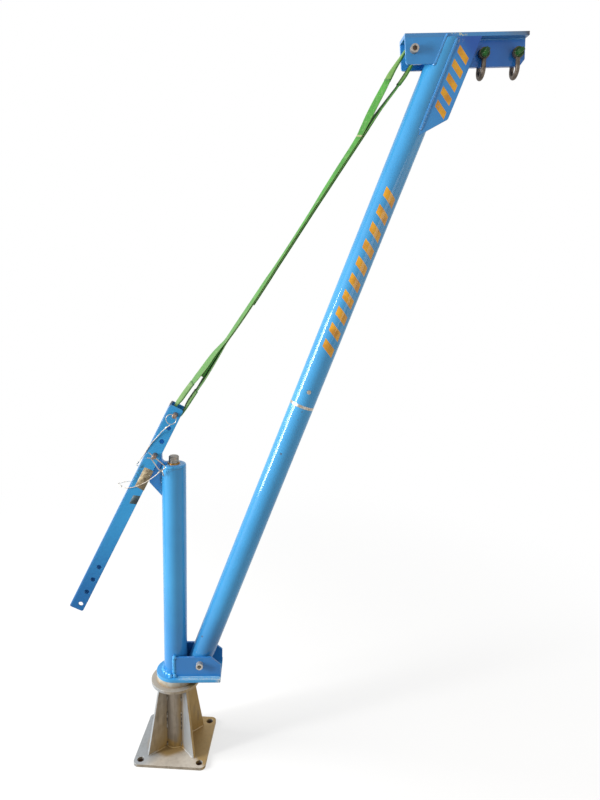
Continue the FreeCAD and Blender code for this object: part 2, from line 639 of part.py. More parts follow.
hollow = [
    bar_point(BAR_BOTTOM, front, -inner_w),
    bar_point(BAR_BOTTOM, inner_back, -inner_w),
    bar_point(BAR_BOTTOM, inner_back, inner_w),
    bar_point(BAR_BOTTOM, front, inner_w),
]
bar = bar.cut(Part.Face(Part.makePolygon(hollow + [hollow[0]])).extrude(BAR_AXIS * BAR_LENGTH))
for k in range(BAR_HOLE_COUNT):
    inset = BAR_END_MARGIN + k * BAR_HOLE_PITCH
    for along in (BAR_TOP - inset, BAR_BOTTOM + inset):
        bar = bar.cut(cross(BAR_HOLE_D / 2, bar_point(along, 0), -TUBE_OD, TUBE_OD))
save("adjuster_bar", bar)


# Clevis pins: one hinges the bar on the lug, one holds the sling; each is cross drilled
def clevis_pin(node, centre, set_angle):
    tip = -BAR_HALF_W - PIN_STAND_OUT
    pin = cross(PIN_D / 2, centre, tip, BAR_HALF_W)
    ends = [e for e in pin.Edges if len(e.Vertexes) == 1 and abs(e.Vertexes[0].Y - tip) < 0.01]
    pin = pin.makeChamfer(PIN_CHAMFER, ends)
    pin = pin.fuse(cross(PIN_HEAD_D / 2, centre, BAR_HALF_W, BAR_HALF_W + PIN_HEAD_T))
    a = math.radians(set_angle)
    way = V(math.cos(a), 0, math.sin(a))
    start = V(centre.x, CROSS_Y, centre.z) - way * PIN_D
    save(node, pin.cut(cyl(PIN_CROSS_HOLE_D / 2, start, way, 2 * PIN_D)))


clip_taper = math.degrees(math.asin(CLIP_BOW_R / CLIP_BOW_AT))
clevis_pin("lug_pin", LUG_PIN, CLIP_HANG + clip_taper)
clevis_pin("sling_pin", BAR_TOP_HOLE, RING_SET - 90)

# Hairpin clip of the lug pin: straight leg in the cross hole, round bow, sprung leg past the pin
clip_a = math.radians(CLIP_HANG)
clip_e = V(math.cos(clip_a), 0, math.sin(clip_a))
clip_n = V(-math.sin(clip_a), 0, math.cos(clip_a))


def clip_point(along, off):
    p = LUG_PIN + clip_e * along + clip_n * off
    return V(p.x, CROSS_Y, p.z)


leg = math.radians(clip_taper)
clip_run = [clip_point(-CLIP_LEG * math.cos(leg), -CLIP_LEG * math.sin(leg))]
bow_step = (math.pi + leg) / 3
for k in range(3):
    a = leg + math.pi / 2 - bow_step * (k + 0.5)
    corner = CLIP_BOW_R / math.cos(bow_step / 2)
    clip_run.append(clip_point(CLIP_BOW_AT + corner * math.cos(a), corner * math.sin(a)))
clip_run.append(clip_point(-CLIP_NECK, -CLIP_BOW_R))
clip_run.append(clip_point(-CLIP_TIP_AT, -CLIP_TIP_OFF))
bow_bend = CLIP_BOW_R - CLIP_BOW_EASE
save("lug_clip", rod(bent_path(clip_run, [bow_bend] * 3 + [CLIP_NECK_R]), CLIP_WIRE_D))

# Small ring hanging in the clip's bow, and the split ring in the sling pin
slant = math.radians(SMALL_RING_SLANT)
ring_g = V(math.sin(slant), 0, -math.cos(slant))
ring_p = V(-ring_g.z, 0, ring_g.x)
bow_centre = clip_point(CLIP_BOW_AT, 0)
small_in = CLIP_BOW_R - CLIP_WIRE_D / 2 - SMALL_RING_WIRE_D / 2 - LANYARD_GAP
small_centre = bow_centre + ring_g * (small_in + SMALL_RING_MEAN_R)
turn = math.radians(SMALL_RING_TURN)
ring_h = ring_p * math.cos(turn) + Y_AXIS * math.sin(turn)
small_axis = ring_g.cross(ring_h)
save("clip_ring", Part.makeTorus(SMALL_RING_MEAN_R, SMALL_RING_WIRE_D / 2, small_centre, small_axis))

ring_a = math.radians(RING_SET)
ring_sag = RING_MEAN_R - math.sqrt(RING_MEAN_R ** 2 - PIN_D ** 2 / 4)
split_off = RING_MEAN_R - ring_sag / 2
split_centre = BAR_TOP_HOLE + V(math.cos(ring_a), 0, math.sin(ring_a)) * split_off
split_centre.y = CROSS_Y
save("sling_pin_ring", Part.makeTorus(RING_MEAN_R, RING_WIRE_D / 2, split_centre, Y_AXIS))

# Lanyards of thin coated wire, from each ring across the bar to its back; crimped ferrules
# Their routes are points along the bar, back from its hole line and across it
hang = math.radians(LANYARD_SLANT)
lanyard_way = V(-math.sin(hang), 0, -math.cos(hang))
web_back = BAR_HOLE_LINE + LANYARD_D / 2
clip_lanyard = [
    bow_centre + lanyard_way * (CLIP_BOW_R + CLIP_WIRE_D / 2 + LANYARD_D / 2 + LANYARD_GAP),
    bar_point(-38.0, -25.3, -30.5),
    bar_point(-49.5, -21.0, -27.6),
    bar_point(-61.9, -15.0, -24.6),
    bar_point(-79.1, -5.5, -22.3),
    bar_point(-95.4, 8.1, -22.1),
    bar_point(-104.6, 20.1, -22.0),
    bar_point(-109.8, 27.5, -20.5),
    bar_point(-112.5, 38.0, -15.0),
    bar_point(-114.8, 45.5, -10.5),
    bar_point(-115.8, 49.8, -6.5),
    bar_point(-114.6, 50.0, -2.2),
    bar_point(-110.0, 44.0, -0.6),
    bar_point(-103.5, 36.5, -0.2),
    bar_point(-99.0, 29.5, 0.0),
    bar_point(-97.5, web_back, 0.0),
]
sling_lanyard = [
    split_centre + lanyard_way * (RING_MEAN_R + RING_WIRE_D / 2 + LANYARD_D / 2 + LANYARD_GAP),
    bar_point(67.0, 10.0, -25.4),
    bar_point(48.2, 13.7, -22.4),
    bar_point(22.0, 21.4, -22.1),
    bar_point(0.6, 23.6, -21.2),
    bar_point(-19.2, 25.4, -15.5),
    bar_point(-37.7, 28.7, -9.0),
    bar_point(-46.0, 30.4, -5.5),
    bar_point(-51.0, 30.2, -2.2),
    bar_point(-52.5, 27.2, -0.6),
    bar_point(-51.8, web_back, 0.0),
]
for node, points in (("clip_lanyard", clip_lanyard), ("sling_pin_lanyard", sling_lanyard)):
    bends = natural_bends(points)
    run = bent_path(points, bends)
    solid = rod(run, LANYARD_D)
    wanted = math.pi * LANYARD_D ** 2 / 4 * run.Length
    print(node, "length %.1f" % run.Length, "volume ratio %.4f" % (solid.Volume / wanted))
    print("  bends", ["%.1f" % b for b in bends])
    save(node, solid)

# Tie sling in its own plane, a band with an eye at each end, ply on ply between them
sling_run = HEAD_PIN - BAR_TOP_HOLE
SLING_L = sling_run.Length
sling_s = V(sling_run.x, 0, sling_run.z).normalize()
sling_n = V(sling_s.z, 0, -sling_s.x)
low_end = SLING_EYE_HALF - PIN_D / 2 - SLING_EASE
low_out = SLING_EYE_HALF + SLING_PLY
top_in = HEAD_SLEEVE_D / 2 + SLING_EASE
top_out = top_in + SLING_SLEEVE


def sling_point(s, n):
    p = BAR_TOP_HOLE + sling_s * s + sling_n * n
    return V(p.x, -SLING_WIDTH / 2, p.z)


def band(side, low_tip=None, top_tip=None):
    # closed outline from the points of one side, mirrored, rounded at an end where a tip is given
    right = [sling_point(s, n) for s, n in side]
    left = [sling_point(s, -n) for s, n in reversed(side)]
    edges = []
    for run in (right, left):
        for a, b in zip(run[:-1], run[1:]):
            edges.append(Part.makeLine(a, b))
    if top_tip is not None:
        edges.append(Part.Arc(right[-1], sling_point(top_tip, 0), left[0]).toShape())
    if low_tip is not None:
        edges.append(Part.Arc(left[-1], sling_point(low_tip, 0), right[0]).toShape())
    wire = Part.Wire(Part.__sortEdges__(edges))
    return Part.Face(wire).extrude(V(0, SLING_WIDTH, 0))


top_straight = SLING_L - SLING_TOP_STRAIGHT
outer_side = [
    (low_end, low_out),
    (SLING_LOW_STRAIGHT, low_out),
    (SLING_LOW_EYE, SLING_PLY),
    (SLING_L - SLING_TOP_EYE, SLING_PLY),
    (top_straight, top_out),
    (SLING_L, top_out),
]
low_side = [
    (low_end, SLING_EYE_HALF),
    (SLING_LOW_STRAIGHT, SLING_EYE_HALF),
    (SLING_LOW_EYE - SLING_CROTCH, 0),
]
top_side = [
    (SLING_L - SLING_TOP_EYE + SLING_CROTCH, 0),
    (top_straight, top_in),
    (SLING_L, top_in),
]
outer = band(outer_side, low_end - low_out, SLING_L + top_out)
low_hole = band(low_side, low_tip=low_end - SLING_EYE_HALF)
top_hole = band(top_side, top_tip=SLING_L + top_in)
save("tie_sling", outer.cut(low_hole).cut(top_hole))
print("sling pin to head pin %.1f" % SLING_L)

# Ferrules crimped on the lanyards, one near each end
ferrules = []
for points, spans in ((clip_lanyard, (0, 8)), (sling_lanyard, (0, 6))):
    for k in spans:
        way = (points[k + 1] - points[k]).normalize()
        middle = (points[k] + points[k + 1]) * 0.5
        barrel = cyl(FERRULE_D / 2, middle - way * (FERRULE_L / 2), way, FERRULE_L)
        bore = cyl(LANYARD_D / 2 + FERRULE_EASE, middle - way * FERRULE_L, way, 2 * FERRULE_L)
        ferrules.append(barrel.cut(bore))
save("lanyard_ferrules", Part.makeCompound(ferrules))
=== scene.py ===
import json
import math
import random

import bmesh
import bpy
from mathutils import Matrix, Vector


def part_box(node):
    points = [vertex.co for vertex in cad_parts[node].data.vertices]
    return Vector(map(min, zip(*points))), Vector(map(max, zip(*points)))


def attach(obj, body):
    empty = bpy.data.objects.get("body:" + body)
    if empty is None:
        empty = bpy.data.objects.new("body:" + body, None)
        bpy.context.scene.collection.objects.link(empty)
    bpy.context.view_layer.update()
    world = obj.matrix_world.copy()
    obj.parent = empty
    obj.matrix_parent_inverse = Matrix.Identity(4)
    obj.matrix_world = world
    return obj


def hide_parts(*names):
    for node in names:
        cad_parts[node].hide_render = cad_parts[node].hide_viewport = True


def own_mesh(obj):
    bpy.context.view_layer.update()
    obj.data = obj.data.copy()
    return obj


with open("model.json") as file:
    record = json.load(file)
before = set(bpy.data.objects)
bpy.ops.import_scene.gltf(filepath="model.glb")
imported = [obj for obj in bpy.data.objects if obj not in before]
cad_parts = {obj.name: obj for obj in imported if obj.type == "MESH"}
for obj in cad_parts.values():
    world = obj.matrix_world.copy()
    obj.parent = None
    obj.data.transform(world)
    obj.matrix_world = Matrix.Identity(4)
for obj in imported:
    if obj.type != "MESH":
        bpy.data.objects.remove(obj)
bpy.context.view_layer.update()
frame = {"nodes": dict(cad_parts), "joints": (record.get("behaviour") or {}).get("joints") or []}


# Pedestal. A square plate, a core tube, four tapered ribs and a round flange of bare
# aluminium, stitch welded. The metal is ground and dulled. A painted warm shade browns its right
# and lee sides and the foot of the core, and a painted cool light tints its left faces.
class Sock:
    """An output of a shader node. Arithmetic on it adds Math nodes to the same finish."""

    def __init__(self, finish, socket):
        self.finish = finish
        self.socket = socket

    def math(self, operation, *others):
        return self.finish.calc(operation, self, *others)

    def __add__(self, other):
        return self.math("ADD", other)

    def __sub__(self, other):
        return self.math("SUBTRACT", other)

    def __rsub__(self, other):
        return self.finish.calc("SUBTRACT", other, self)

    def __mul__(self, other):
        return self.math("MULTIPLY", other)

    def __truediv__(self, other):
        return self.math("DIVIDE", other)

    def __rtruediv__(self, other):
        return self.finish.calc("DIVIDE", other, self)

    def __gt__(self, other):
        return self.math("GREATER_THAN", other)

    def __lt__(self, other):
        return self.math("LESS_THAN", other)

    def __abs__(self):
        return self.math("ABSOLUTE")

    __radd__ = __add__
    __rmul__ = __mul__


def tint(colour):
    """A colour as light, from its everyday 0 to 255 values."""
    shares = [value / 255 for value in colour]
    return tuple(s / 12.92 if s < 0.04045 else ((s + 0.055) / 1.055) ** 2.4 for s in shares) + (1.0,)


class Finish:
    """The shader of a material or of the sky, and the few ways its nodes are put together."""

    def __init__(self, name, shelf=bpy.data.materials, shader="Principled BSDF", output="Material Output"):
        self.owner = shelf.new(name)
        self.owner.use_nodes = True
        self.tree = self.owner.node_tree
        self.shader = self.tree.nodes[shader]
        self.surface = self.tree.nodes[output].inputs["Surface"]
        self.place = self.add("ShaderNodeTexCoord", out="Object")

    def add(self, kind, settings=None, inputs=None, out=0):
        node = self.tree.nodes.new(kind)
        for key, value in (settings or {}).items():
            setattr(node, key, value)
        for key, value in (inputs or {}).items():
            self.feed(node.inputs[key], value)
        return Sock(self, node.outputs[out])

    def feed(self, socket, value):
        if isinstance(value, Sock):
            self.tree.links.new(value.socket, socket)
        else:
            socket.default_value = tint(value) if socket.type == "RGBA" else value

    def calc(self, operation, *values):
        return self.add("ShaderNodeMath", {"operation": operation}, dict(enumerate(values)))

    def vector(self, operation, *values, out=1):
        # output 1 is a number, such as a length or a dot product, and 0 is a vector
        return self.add("ShaderNodeVectorMath", {"operation": operation}, dict(enumerate(values)), out)

    def noise(self, scale, detail=3.0, stretch=None):
        place = self.place
        if stretch:
            place = self.vector("MULTIPLY", place, stretch, out=0)
        return self.add("ShaderNodeTexNoise", None, {"Vector": place, "Scale": scale, "Detail": detail})

    def smooth(self, value, low, high):
        ends = {"Value": value, "From Min": low, "From Max": high}
        return self.add("ShaderNodeMapRange", {"interpolation_type": "SMOOTHSTEP"}, ends)

    def mix(self, share, first, second):
        return self.add("ShaderNodeMix", {"data_type": "RGBA"}, {0: share, 6: first, 7: second}, 2)

    def along(self, direction, origin=(0, 0, 0)):
        # distance of a point from an origin, measured along a direction
        direction = Vector(direction)
        return self.vector("DOT_PRODUCT", self.place, direction) - direction.dot(Vector(origin))

    def facing(self, direction):
        normal = self.add("ShaderNodeNewGeometry", out="Normal")
        return self.vector("DOT_PRODUCT", normal, direction)

    def rounded(self, radius):
        return self.add("ShaderNodeBevel", {"samples": 6}, {"Radius": radius})

    def corner(self, rounded):
        # 0 on flat faces, rising towards sharp edges
        normal = self.add("ShaderNodeNewGeometry", out="Normal")
        return 1 - self.vector("DOT_PRODUCT", rounded, normal)

    def bump(self, height, distance, normal=None, strength=1.0):
        inputs = {"Height": height, "Distance": distance, "Strength": strength}
        if normal:
            inputs["Normal"] = normal
        return self.add("ShaderNodeBump", None, inputs)

    def skin(self, **inputs):
        for key, value in inputs.items():
            self.feed(self.shader.inputs[key.replace("_", " ")], value)
        return self.owner


nodes = frame["nodes"]


def dress(names, material):
    for name in names:
        skin = nodes[name].data.materials
        skin.clear()
        skin.append(material)


UP = Vector((0, 0, 1))
NEAR = Vector((0, -1, 0))


def bare_aluminium(name):
    f = Finish(name)
    cloud = f.noise(16, 4)
    patch = f.noise(48, 4)
    grain = f.noise(1500, 2)
    scratch = f.noise(1, 3, stretch=(700, 700, 60))
    flat_top = f.smooth(f.facing(UP), 0.5, 0.9)
    side = f.smooth(f.along((1, 0, -0.5)), -0.13, -0.01)
    # painted warm shade: faces turned right, the plate top in the pedestal's lee and the core's foot go
    # brown, as under shade and a warm bounce
    painted_side_shade = f.smooth(f.facing((0.8, -0.6, 0)) + (cloud - 0.5) * 0.5, 0.62, 0.98) * side
    painted_lee_shadow = f.smooth(f.along((0.77, 0.64, 0)) + (cloud - 0.5) * 0.02, -0.004, 0.01) * flat_top
    away = f.vector("LENGTH", f.place)
    foot = f.smooth(away * 1.2 + f.along((0.25, 0, 1)) + (cloud - 0.5) * 0.03, 0.086, 0.066)
    painted_warm_shade = f.calc("MAXIMUM", f.calc("MAXIMUM", painted_side_shade, painted_lee_shadow), foot)
    radial = f.calc("MAXIMUM", abs(f.along((1, 0, 0))), abs(f.along((0, 1, 0))))
    # painted light: faces turned left and up, and the left of the plate top, take a cool pale tint as if
    # lit
    painted_cool_light = f.smooth(f.facing((-0.9, -0.2, 0.3)), 0.25, 0.8) * f.smooth(radial, 0.029, 0.036)
    low = f.smooth(f.along(UP), 0.03, 0.012)
    painted_cool_light = f.calc("MAXIMUM", painted_cool_light, low * flat_top * f.smooth(f.along((-0.77, 0.64, 0)), -0.03, 0.02))
    mottle = f.smooth(patch, 0.35, 0.7)
    upright = f.mix(mottle, (154, 143, 127), (138, 127, 111))
    level = f.mix(mottle, (202, 193, 180), (188, 179, 166))
    level = f.mix(f.smooth(f.along(UP), 0.1, 0.15), level, (168, 161, 150))
    upright = f.mix(f.smooth(radial, 0.0315, 0.029) * 0.6, upright, (118, 108, 96))
    colour = f.mix(flat_top, upright, level)
    colour = f.mix(painted_cool_light, colour, (150, 154, 157))
    colour = f.mix(painted_warm_shade * 0.9, colour, (156, 127, 72))
    colour = f.mix(f.smooth(f.noise(120, 3), 0.64, 0.74) * 0.35, colour, (116, 98, 76))
    streak = f.smooth(f.noise(1, 4, stretch=(110, 110, 16)), 0.5, 0.7) * (1 - flat_top * 0.7)
    colour = f.mix(streak * 0.4, colour, (98, 84, 64))
    edge = f.rounded(0.0014)
    colour = f.mix(f.smooth(f.corner(edge), 0.1, 0.35) * 0.55, colour, (198, 194, 188))
    height = scratch * 0.5 + grain * 0.3 + patch * 0.4
    normal = f.bump(height, 0.0002, edge, 0.4)
    return f.skin(Base_Color=colour, Metallic=0.45, Roughness=0.42 + patch * 0.2, Normal=normal)


aluminium = bare_aluminium("bare_aluminium")
ribs = ["pedestal_rib_%d" % number for number in (1, 2, 3, 4)]
dress(["base_plate", "pedestal_core", "pedestal_flange"] + ribs, aluminium)


def sweep(mesh, rings, closed=False):
    """Joins rings of points into a skin, and returns its faces ring by ring."""
    rows = [[mesh.verts.new(point) for point in ring] for ring in rings]
    pairs = list(zip(rows, rows[1:]))
    if closed:
        pairs.append((rows[-1], rows[0]))
    bands = []
    for row, following in pairs:
        band = []
        for k in range(len(row)):
            m = (k + 1) % len(row)
            band.append(mesh.faces.new((row[k], row[m], following[m], following[k])))
        bands.append(band)
    if not closed:
        mesh.faces.new(list(reversed(rows[0])))
        mesh.faces.new(rows[-1])
    return bands


def evenly(path, step, closed=False):
    """Points at even steps along a run of straight lines."""
    path = [Vector(point) for point in path]
    if closed:
        path = path + path[:1]
    lengths = [(b - a).length for a, b in zip(path, path[1:])]
    total = sum(lengths)
    count = max(3, round(total / step))
    points = []
    for k in range(count if closed else count + 1):
        left = total * k / count
        for a, b, length in zip(path, path[1:], lengths):
            if left <= length + 1e-9:
                break
            left -= length
        points.append(a.lerp(b, min(1.0, left / length)))
    return points


WELD_SIDES = 10


def weld_bead(mesh, path, radius, seed, closed=False, flat=0.8, lift=None, high=0.8):
    """One run of weld with the ripples of each dab; a lift direction makes it a low, broad ridge."""
    draw = random.Random(seed)
    step = radius * 0.3
    points = evenly(path, step, closed)
    count = len(points)
    dab = 0.0
    rings = []
    for k, point in enumerate(points):
        following = points[(k + 1) % count] if closed or k + 1 < count else point
        before = points[k - 1] if closed or k else point
        way = (following - before).normalized()
        side = way.cross(lift).normalized() if lift else way.orthogonal().normalized()
        other = way.cross(side)
        dab = (dab + 0.2 + draw.uniform(-0.05, 0.05)) % 1.0
        size = radius * (0.88 + 0.2 * math.sin(math.pi * dab) + draw.uniform(-0.03, 0.03))
        if not closed:
            size *= min(1.0, 0.45 + 0.55 * min(k, count - 1 - k) * step / radius)
        ring = []
        for m in range(WELD_SIDES):
            a = math.tau * m / WELD_SIDES
            ring.append(point + (side * math.cos(a) * flat + other * math.sin(a) * min(flat, high)) * size)
        rings.append(ring)
    sweep(mesh, rings, closed)


def put(name, data):
    thing = bpy.data.objects.new(name, data)
    bpy.context.scene.collection.objects.link(thing)
    return thing


def piece(name, mesh, material, body):
    """Turns a bmesh into a piece that rides on a body."""
    bmesh.ops.recalc_face_normals(mesh, faces=mesh.faces)
    data = bpy.data.meshes.new(name)
    mesh.to_mesh(data)
    mesh.free()
    for face in data.polygons:
        face.use_smooth = True
    thing = put(name, data)
    data.materials.append(material)
    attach(thing, body)
    return thing


RING_STEPS = 48


def ring_path(radius, height):
    turns = [math.tau * k / RING_STEPS for k in range(RING_STEPS)]
    return [Vector((radius * math.cos(a), radius * math.sin(a), height)) for a in turns]


PLATE_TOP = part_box("base_plate")[1].z
FLANGE_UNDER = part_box("pedestal_flange")[0].z
TUBE_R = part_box("mast_tube")[1].x
# how far the middle of a bead stands off the corner that it fills
WELD_OUT = 0.0008
RING_OUT = 0.0006
THIN_OUT = 0.0004
STITCH_BEAD = 0.0021
RIB_BEAD = 0.0026
FOOT_BEAD = 0.003
FLANGE_BEAD = 0.0024
RIB_HALF = 0.003
RIB_FOOT_R = 0.088
RIB_TURN = math.radians(39.7)
STITCHES = ((0.010, 0.022), (0.062, 0.1147), (0.1487, 0.162))


def rib_ways(k):
    """The way out along a rib, and the way across it."""
    a = RIB_TURN + math.tau * k / 4
    return Vector((math.cos(a), math.sin(a), 0)), Vector((-math.sin(a), math.cos(a), 0))


def pedestal_welds():
    mesh = bmesh.new()
    seed = 0
    reach = math.sqrt(TUBE_R ** 2 - RIB_HALF ** 2)
    for k in range(4):
        out, across = rib_ways(k)
        for side in (-1, 1):
            corner = out * (reach + WELD_OUT) + across * side * (RIB_HALF + WELD_OUT)
            for low, high in STITCHES:
                seed += 1
                weld_bead(mesh, [corner + UP * low, corner + UP * high], STITCH_BEAD, seed)
            seed += 1
    return mesh


def pedestal_foot_welds():
    mesh = bmesh.new()
    for k in range(4):
        out, across = rib_ways(k)
        for side in (-1, 1):
            foot = across * side * (RIB_HALF + THIN_OUT) + UP * (PLATE_TOP + THIN_OUT)
            run = [out * (TUBE_R + 0.004) + foot, out * (RIB_FOOT_R - 0.002) + foot]
            weld_bead(mesh, run, RIB_BEAD, 60 + 2 * k + side)
    weld_bead(mesh, ring_path(TUBE_R + RING_OUT, PLATE_TOP + RING_OUT), FOOT_BEAD, 90, closed=True)
    weld_bead(mesh, ring_path(TUBE_R + RING_OUT, FLANGE_UNDER - RING_OUT), FLANGE_BEAD, 91, closed=True)
    return mesh


def weld_grey(name):
    f = Finish(name)
    soot = f.noise(160, 3)
    colour = f.mix(f.smooth(soot, 0.4, 0.6), (74, 66, 56), (150, 142, 130))
    grain = f.noise(2200, 2)
    return f.skin(Base_Color=colour, Metallic=0.6, Roughness=0.5, Normal=f.bump(grain, 0.0002))


piece("pedestal_welds", pedestal_welds(), weld_grey("weld_grey"), "pedestal")
piece("pedestal_foot_welds", pedestal_foot_welds(), aluminium, "pedestal")


# Thrust ring. A turned ring of cream plastic that the mast's foot plate slides on; it turns
# brown towards its lower edge.
def cream_plastic(name):
    f = Finish(name)
    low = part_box("thrust_ring")[0].z
    dirt = f.noise(60, 4)
    browner_low = f.smooth(f.along((0, 0, -1), (0, 0, low)) * 90 + dirt * 0.9, -0.75, 0.45)
    turned = f.noise(1, 2, stretch=(30, 30, 1600))
    colour = f.mix(f.smooth(dirt, 0.35, 0.7), (174, 175, 168), (158, 153, 138))
    colour = f.mix(browner_low * 0.75, colour, (128, 104, 72))
    normal = f.bump(turned, 0.0002, f.rounded(0.0012), 0.5)
    return f.skin(Base_Color=colour, Roughness=0.55 + dirt * 0.15, Normal=normal)


dress(["thrust_ring"], cream_plastic("cream_plastic"))


# Pivot post and bushes. The post is turned from stainless bar and fixed in the pedestal; its stub
# comes out through the mast cap in a bronze bush. The joint ring, pin rings and clip share its steel.
def stainless(name, shade=1.0):
    f = Finish(name)
    patch = f.noise(220, 4)
    turned = f.noise(1, 3, stretch=(2600, 160, 2600))
    tea = f.smooth(f.noise(120, 3), 0.56, 0.72)
    pale = (186 * shade, 180 * shade, 170 * shade)
    colour = f.mix(f.smooth(patch, 0.3, 0.75), pale, (150 * shade, 140 * shade, 128 * shade))
    colour = f.mix(tea * 0.5, colour, (140, 108, 74))
    edge = f.rounded(0.0006)
    normal = f.bump(turned, 0.00008, edge, 0.5)
    return f.skin(Base_Color=colour, Metallic=0.9, Roughness=0.3 + patch * 0.2, Normal=normal)


def bronze(name):
    f = Finish(name)
    patch = f.noise(260, 3)
    colour = f.mix(patch, (206, 158, 78), (150, 104, 48))
    normal = f.bump(patch, 0.0001)
    return f.skin(Base_Color=colour, Metallic=0.9, Roughness=0.34 + patch * 0.15, Normal=normal)


steel = stainless("stainless_steel")
dress(["pivot_post"], stainless("post_steel", 0.8))
dress(["mast_foot_bush", "mast_top_bush"], bronze("bronze_bush"))


# Mast. A tube welded to a foot plate with two cheeks for the boom, closed by a cap, with a lug
# on its back; all in gloss blue paint, rubbed thin on the edges with a painted highlight along
# them, and speckled by knocks on the foot.
PAINT_DEEP = (54, 144, 200)
PAINT_PALE = (60, 152, 208)
PAINT_EDGE_RUB_AND_HIGHLIGHT = (104, 178, 210)
PRIMER = (148, 140, 126)


def blue_paint(name, *marks, edge_radius=0.0014, gloss=0.6):
    """Gloss paint over steel. Each mark is a function that lays something over the colour."""
    f = Finish(name)
    cloud = f.noise(7, 3)
    peel = f.noise(420, 2)
    speck = f.noise(300, 4)
    rub = f.noise(55, 4)
    colour = f.mix(f.smooth(cloud, 0.35, 0.65), PAINT_DEEP, PAINT_PALE)
    edge = f.rounded(edge_radius)
    corner = f.corner(edge)
    # pale edges: paint rubbed thin, and a painted highlight along them
    colour = f.mix(f.smooth(corner + rub * 0.05, 0.1, 0.36) * 0.65, colour, PAINT_EDGE_RUB_AND_HIGHLIGHT)
    chip = f.smooth(corner * 1.2 + rub + speck * 0.5, 1.26, 1.32)
    colour = f.mix(chip, colour, PRIMER)
    for mark in marks:
        colour = mark(f, colour)
    return f.skin(
        Base_Color=colour,
        Roughness=0.44 + rub * 0.12 + chip * 0.2,
        Normal=f.bump(peel + chip * -4, 0.0001, edge, 0.12),
        Specular_IOR_Level=0.2,
        Coat_Weight=gloss,
        Coat_Roughness=0.05,
    )


FOOT_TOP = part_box("mast_foot_plate")[1].z
CHEEK_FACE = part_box("mast_cheek_near")[0].y


def foot_knocks(f, colour):
    # paint knocked off along the near edge of the foot plate
    strip = f.smooth(f.along(NEAR), 0.0362, 0.0385) * f.smooth(f.along((1, 0, 0)), 0.0, 0.03)
    strip = strip * f.smooth(f.facing(UP), 0.3, 0.9)
    colour = f.mix(strip * 0.4, colour, (140, 188, 208))
    fleck = f.noise(620, 3)
    colour = f.mix(strip * f.smooth(fleck, 0.52, 0.58) * 0.85, colour, (190, 200, 196))
    end = f.smooth(f.along((1, 0, 0)) + f.along(NEAR), 0.156, 0.168)
    colour = f.mix(end * f.smooth(fleck, 0.45, 0.55), colour, (204, 202, 190))
    return f.mix(strip * f.smooth(f.noise(430, 3), 0.62, 0.68) * 0.7, colour, (104, 92, 78))


def painted_inside_light(f, colour):
    # painted light: a brighter, deeper blue on faces that look inwards, standing in for light that reaches
    # them
    inside = (f.facing(NEAR) * f.along((0, 1, 0))) > 0.004
    return f.mix(inside * 0.95, colour, (58, 160, 250))


def cheek_painted_shade(f, colour):
    # painted shade: the cheeks are painted darker still
    return f.mix(f.smooth(f.noise(9, 2), 0.2, 0.8) * 0.25 + 0.45, colour, (22, 92, 172))


def head_painted_shade(f, colour):
    # painted shade: the head's plates are painted a darker, bluer blue than the tubes
    return f.mix(f.smooth(f.noise(9, 2), 0.2, 0.8) * 0.3 + 0.15, colour, (38, 108, 192))


def mast_low_shade(f, colour):
    # painted shade: darker towards the bottom of the tube
    low = f.smooth(f.along(UP) + (f.noise(12, 3) - 0.5) * 0.15, 0.52, 0.24)
    return f.mix(low * 0.5, colour, (26, 92, 168))


def lug_painted_light(f, colour):
    # painted light: the lug stands in the bar's shadow and is painted a brighter blue
    return f.mix(f.smooth(f.along(NEAR), 0.0, 0.005) * 0.85, colour, (58, 166, 250))


dress(["mast_tube"], blue_paint("blue_paint_mast", mast_low_shade))
dress(["mast_cheek_near", "mast_cheek_far"], blue_paint("blue_paint_cheek", cheek_painted_shade))
dress(["mast_cap"], blue_paint("blue_paint_cap", edge_radius=0.004))
dress(["mast_lug"], blue_paint("blue_paint_lug", lug_painted_light))
dress(["mast_foot_plate"], blue_paint("blue_paint_foot", foot_knocks))

LUG_HALF = 0.006
COLLAR_OUT = 0.0014
COLLAR_BEAD = 0.007
CHEEK_BEAD = 0.0066
TOE_BEAD = 0.0026
LUG_BEAD = 0.003
LUG_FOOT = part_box("mast_lug")[0].z
TUBE_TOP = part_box("mast_tube")[1].z
CHEEK_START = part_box("mast_cheek_near")[0].x
CHEEK_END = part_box("mast_cheek_near")[1].x
CHEEK_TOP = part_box("mast_cheek_near")[1].z


def weld_lump(mesh, place, radius, seed):
    """The round end where a run of weld was stopped."""
    rise = UP * (radius * 0.9)
    weld_bead(mesh, [place - rise, place + rise], radius, seed, flat=1.0, high=1.0)


def mast_welds():
    mesh = bmesh.new()
    weld_bead(mesh, ring_path(TUBE_R + COLLAR_OUT, FOOT_TOP + COLLAR_OUT), COLLAR_BEAD, 1, closed=True)
    for side in (-1, 1):
        face = side * abs(CHEEK_FACE)
        seam_x = CHEEK_START - 0.0045
        low = Vector((seam_x, face * 0.9, FOOT_TOP + 0.002))
        high = Vector((seam_x - 0.001, face * 0.89, CHEEK_TOP - 0.002))
        weld_bead(mesh, [low, high], CHEEK_BEAD, 5 + side)
        for end, along, outward, rise, radius, seed in (
            (high, 0.001, 0.0015, 0, 0.0064, 105),
            (low, 0.001, 0.003, 0.001, 0.0066, 115),
            (low, -0.010, 0.003, 0, 0.0072, 125),
        ):
            weld_lump(mesh, end + Vector((along, side * outward, rise)), radius, seed + side)
        toe = [Vector((CHEEK_START + 0.002, face, FOOT_TOP)), Vector((CHEEK_END - 0.002, face, FOOT_TOP))]
        weld_bead(mesh, toe, TOE_BEAD, 15 + side)
        back = -math.sqrt(TUBE_R ** 2 - LUG_HALF ** 2) - WELD_OUT
        seam = side * (LUG_HALF + WELD_OUT)
        run = [(back, seam, LUG_FOOT + 0.004), (back, seam, TUBE_TOP + 0.002)]
        weld_bead(mesh, run, LUG_BEAD, 25 + side)
    return mesh


weld_paint = blue_paint("blue_paint_welds", foot_knocks, gloss=0.8)
piece("mast_welds", mast_welds(), weld_paint, "mast")


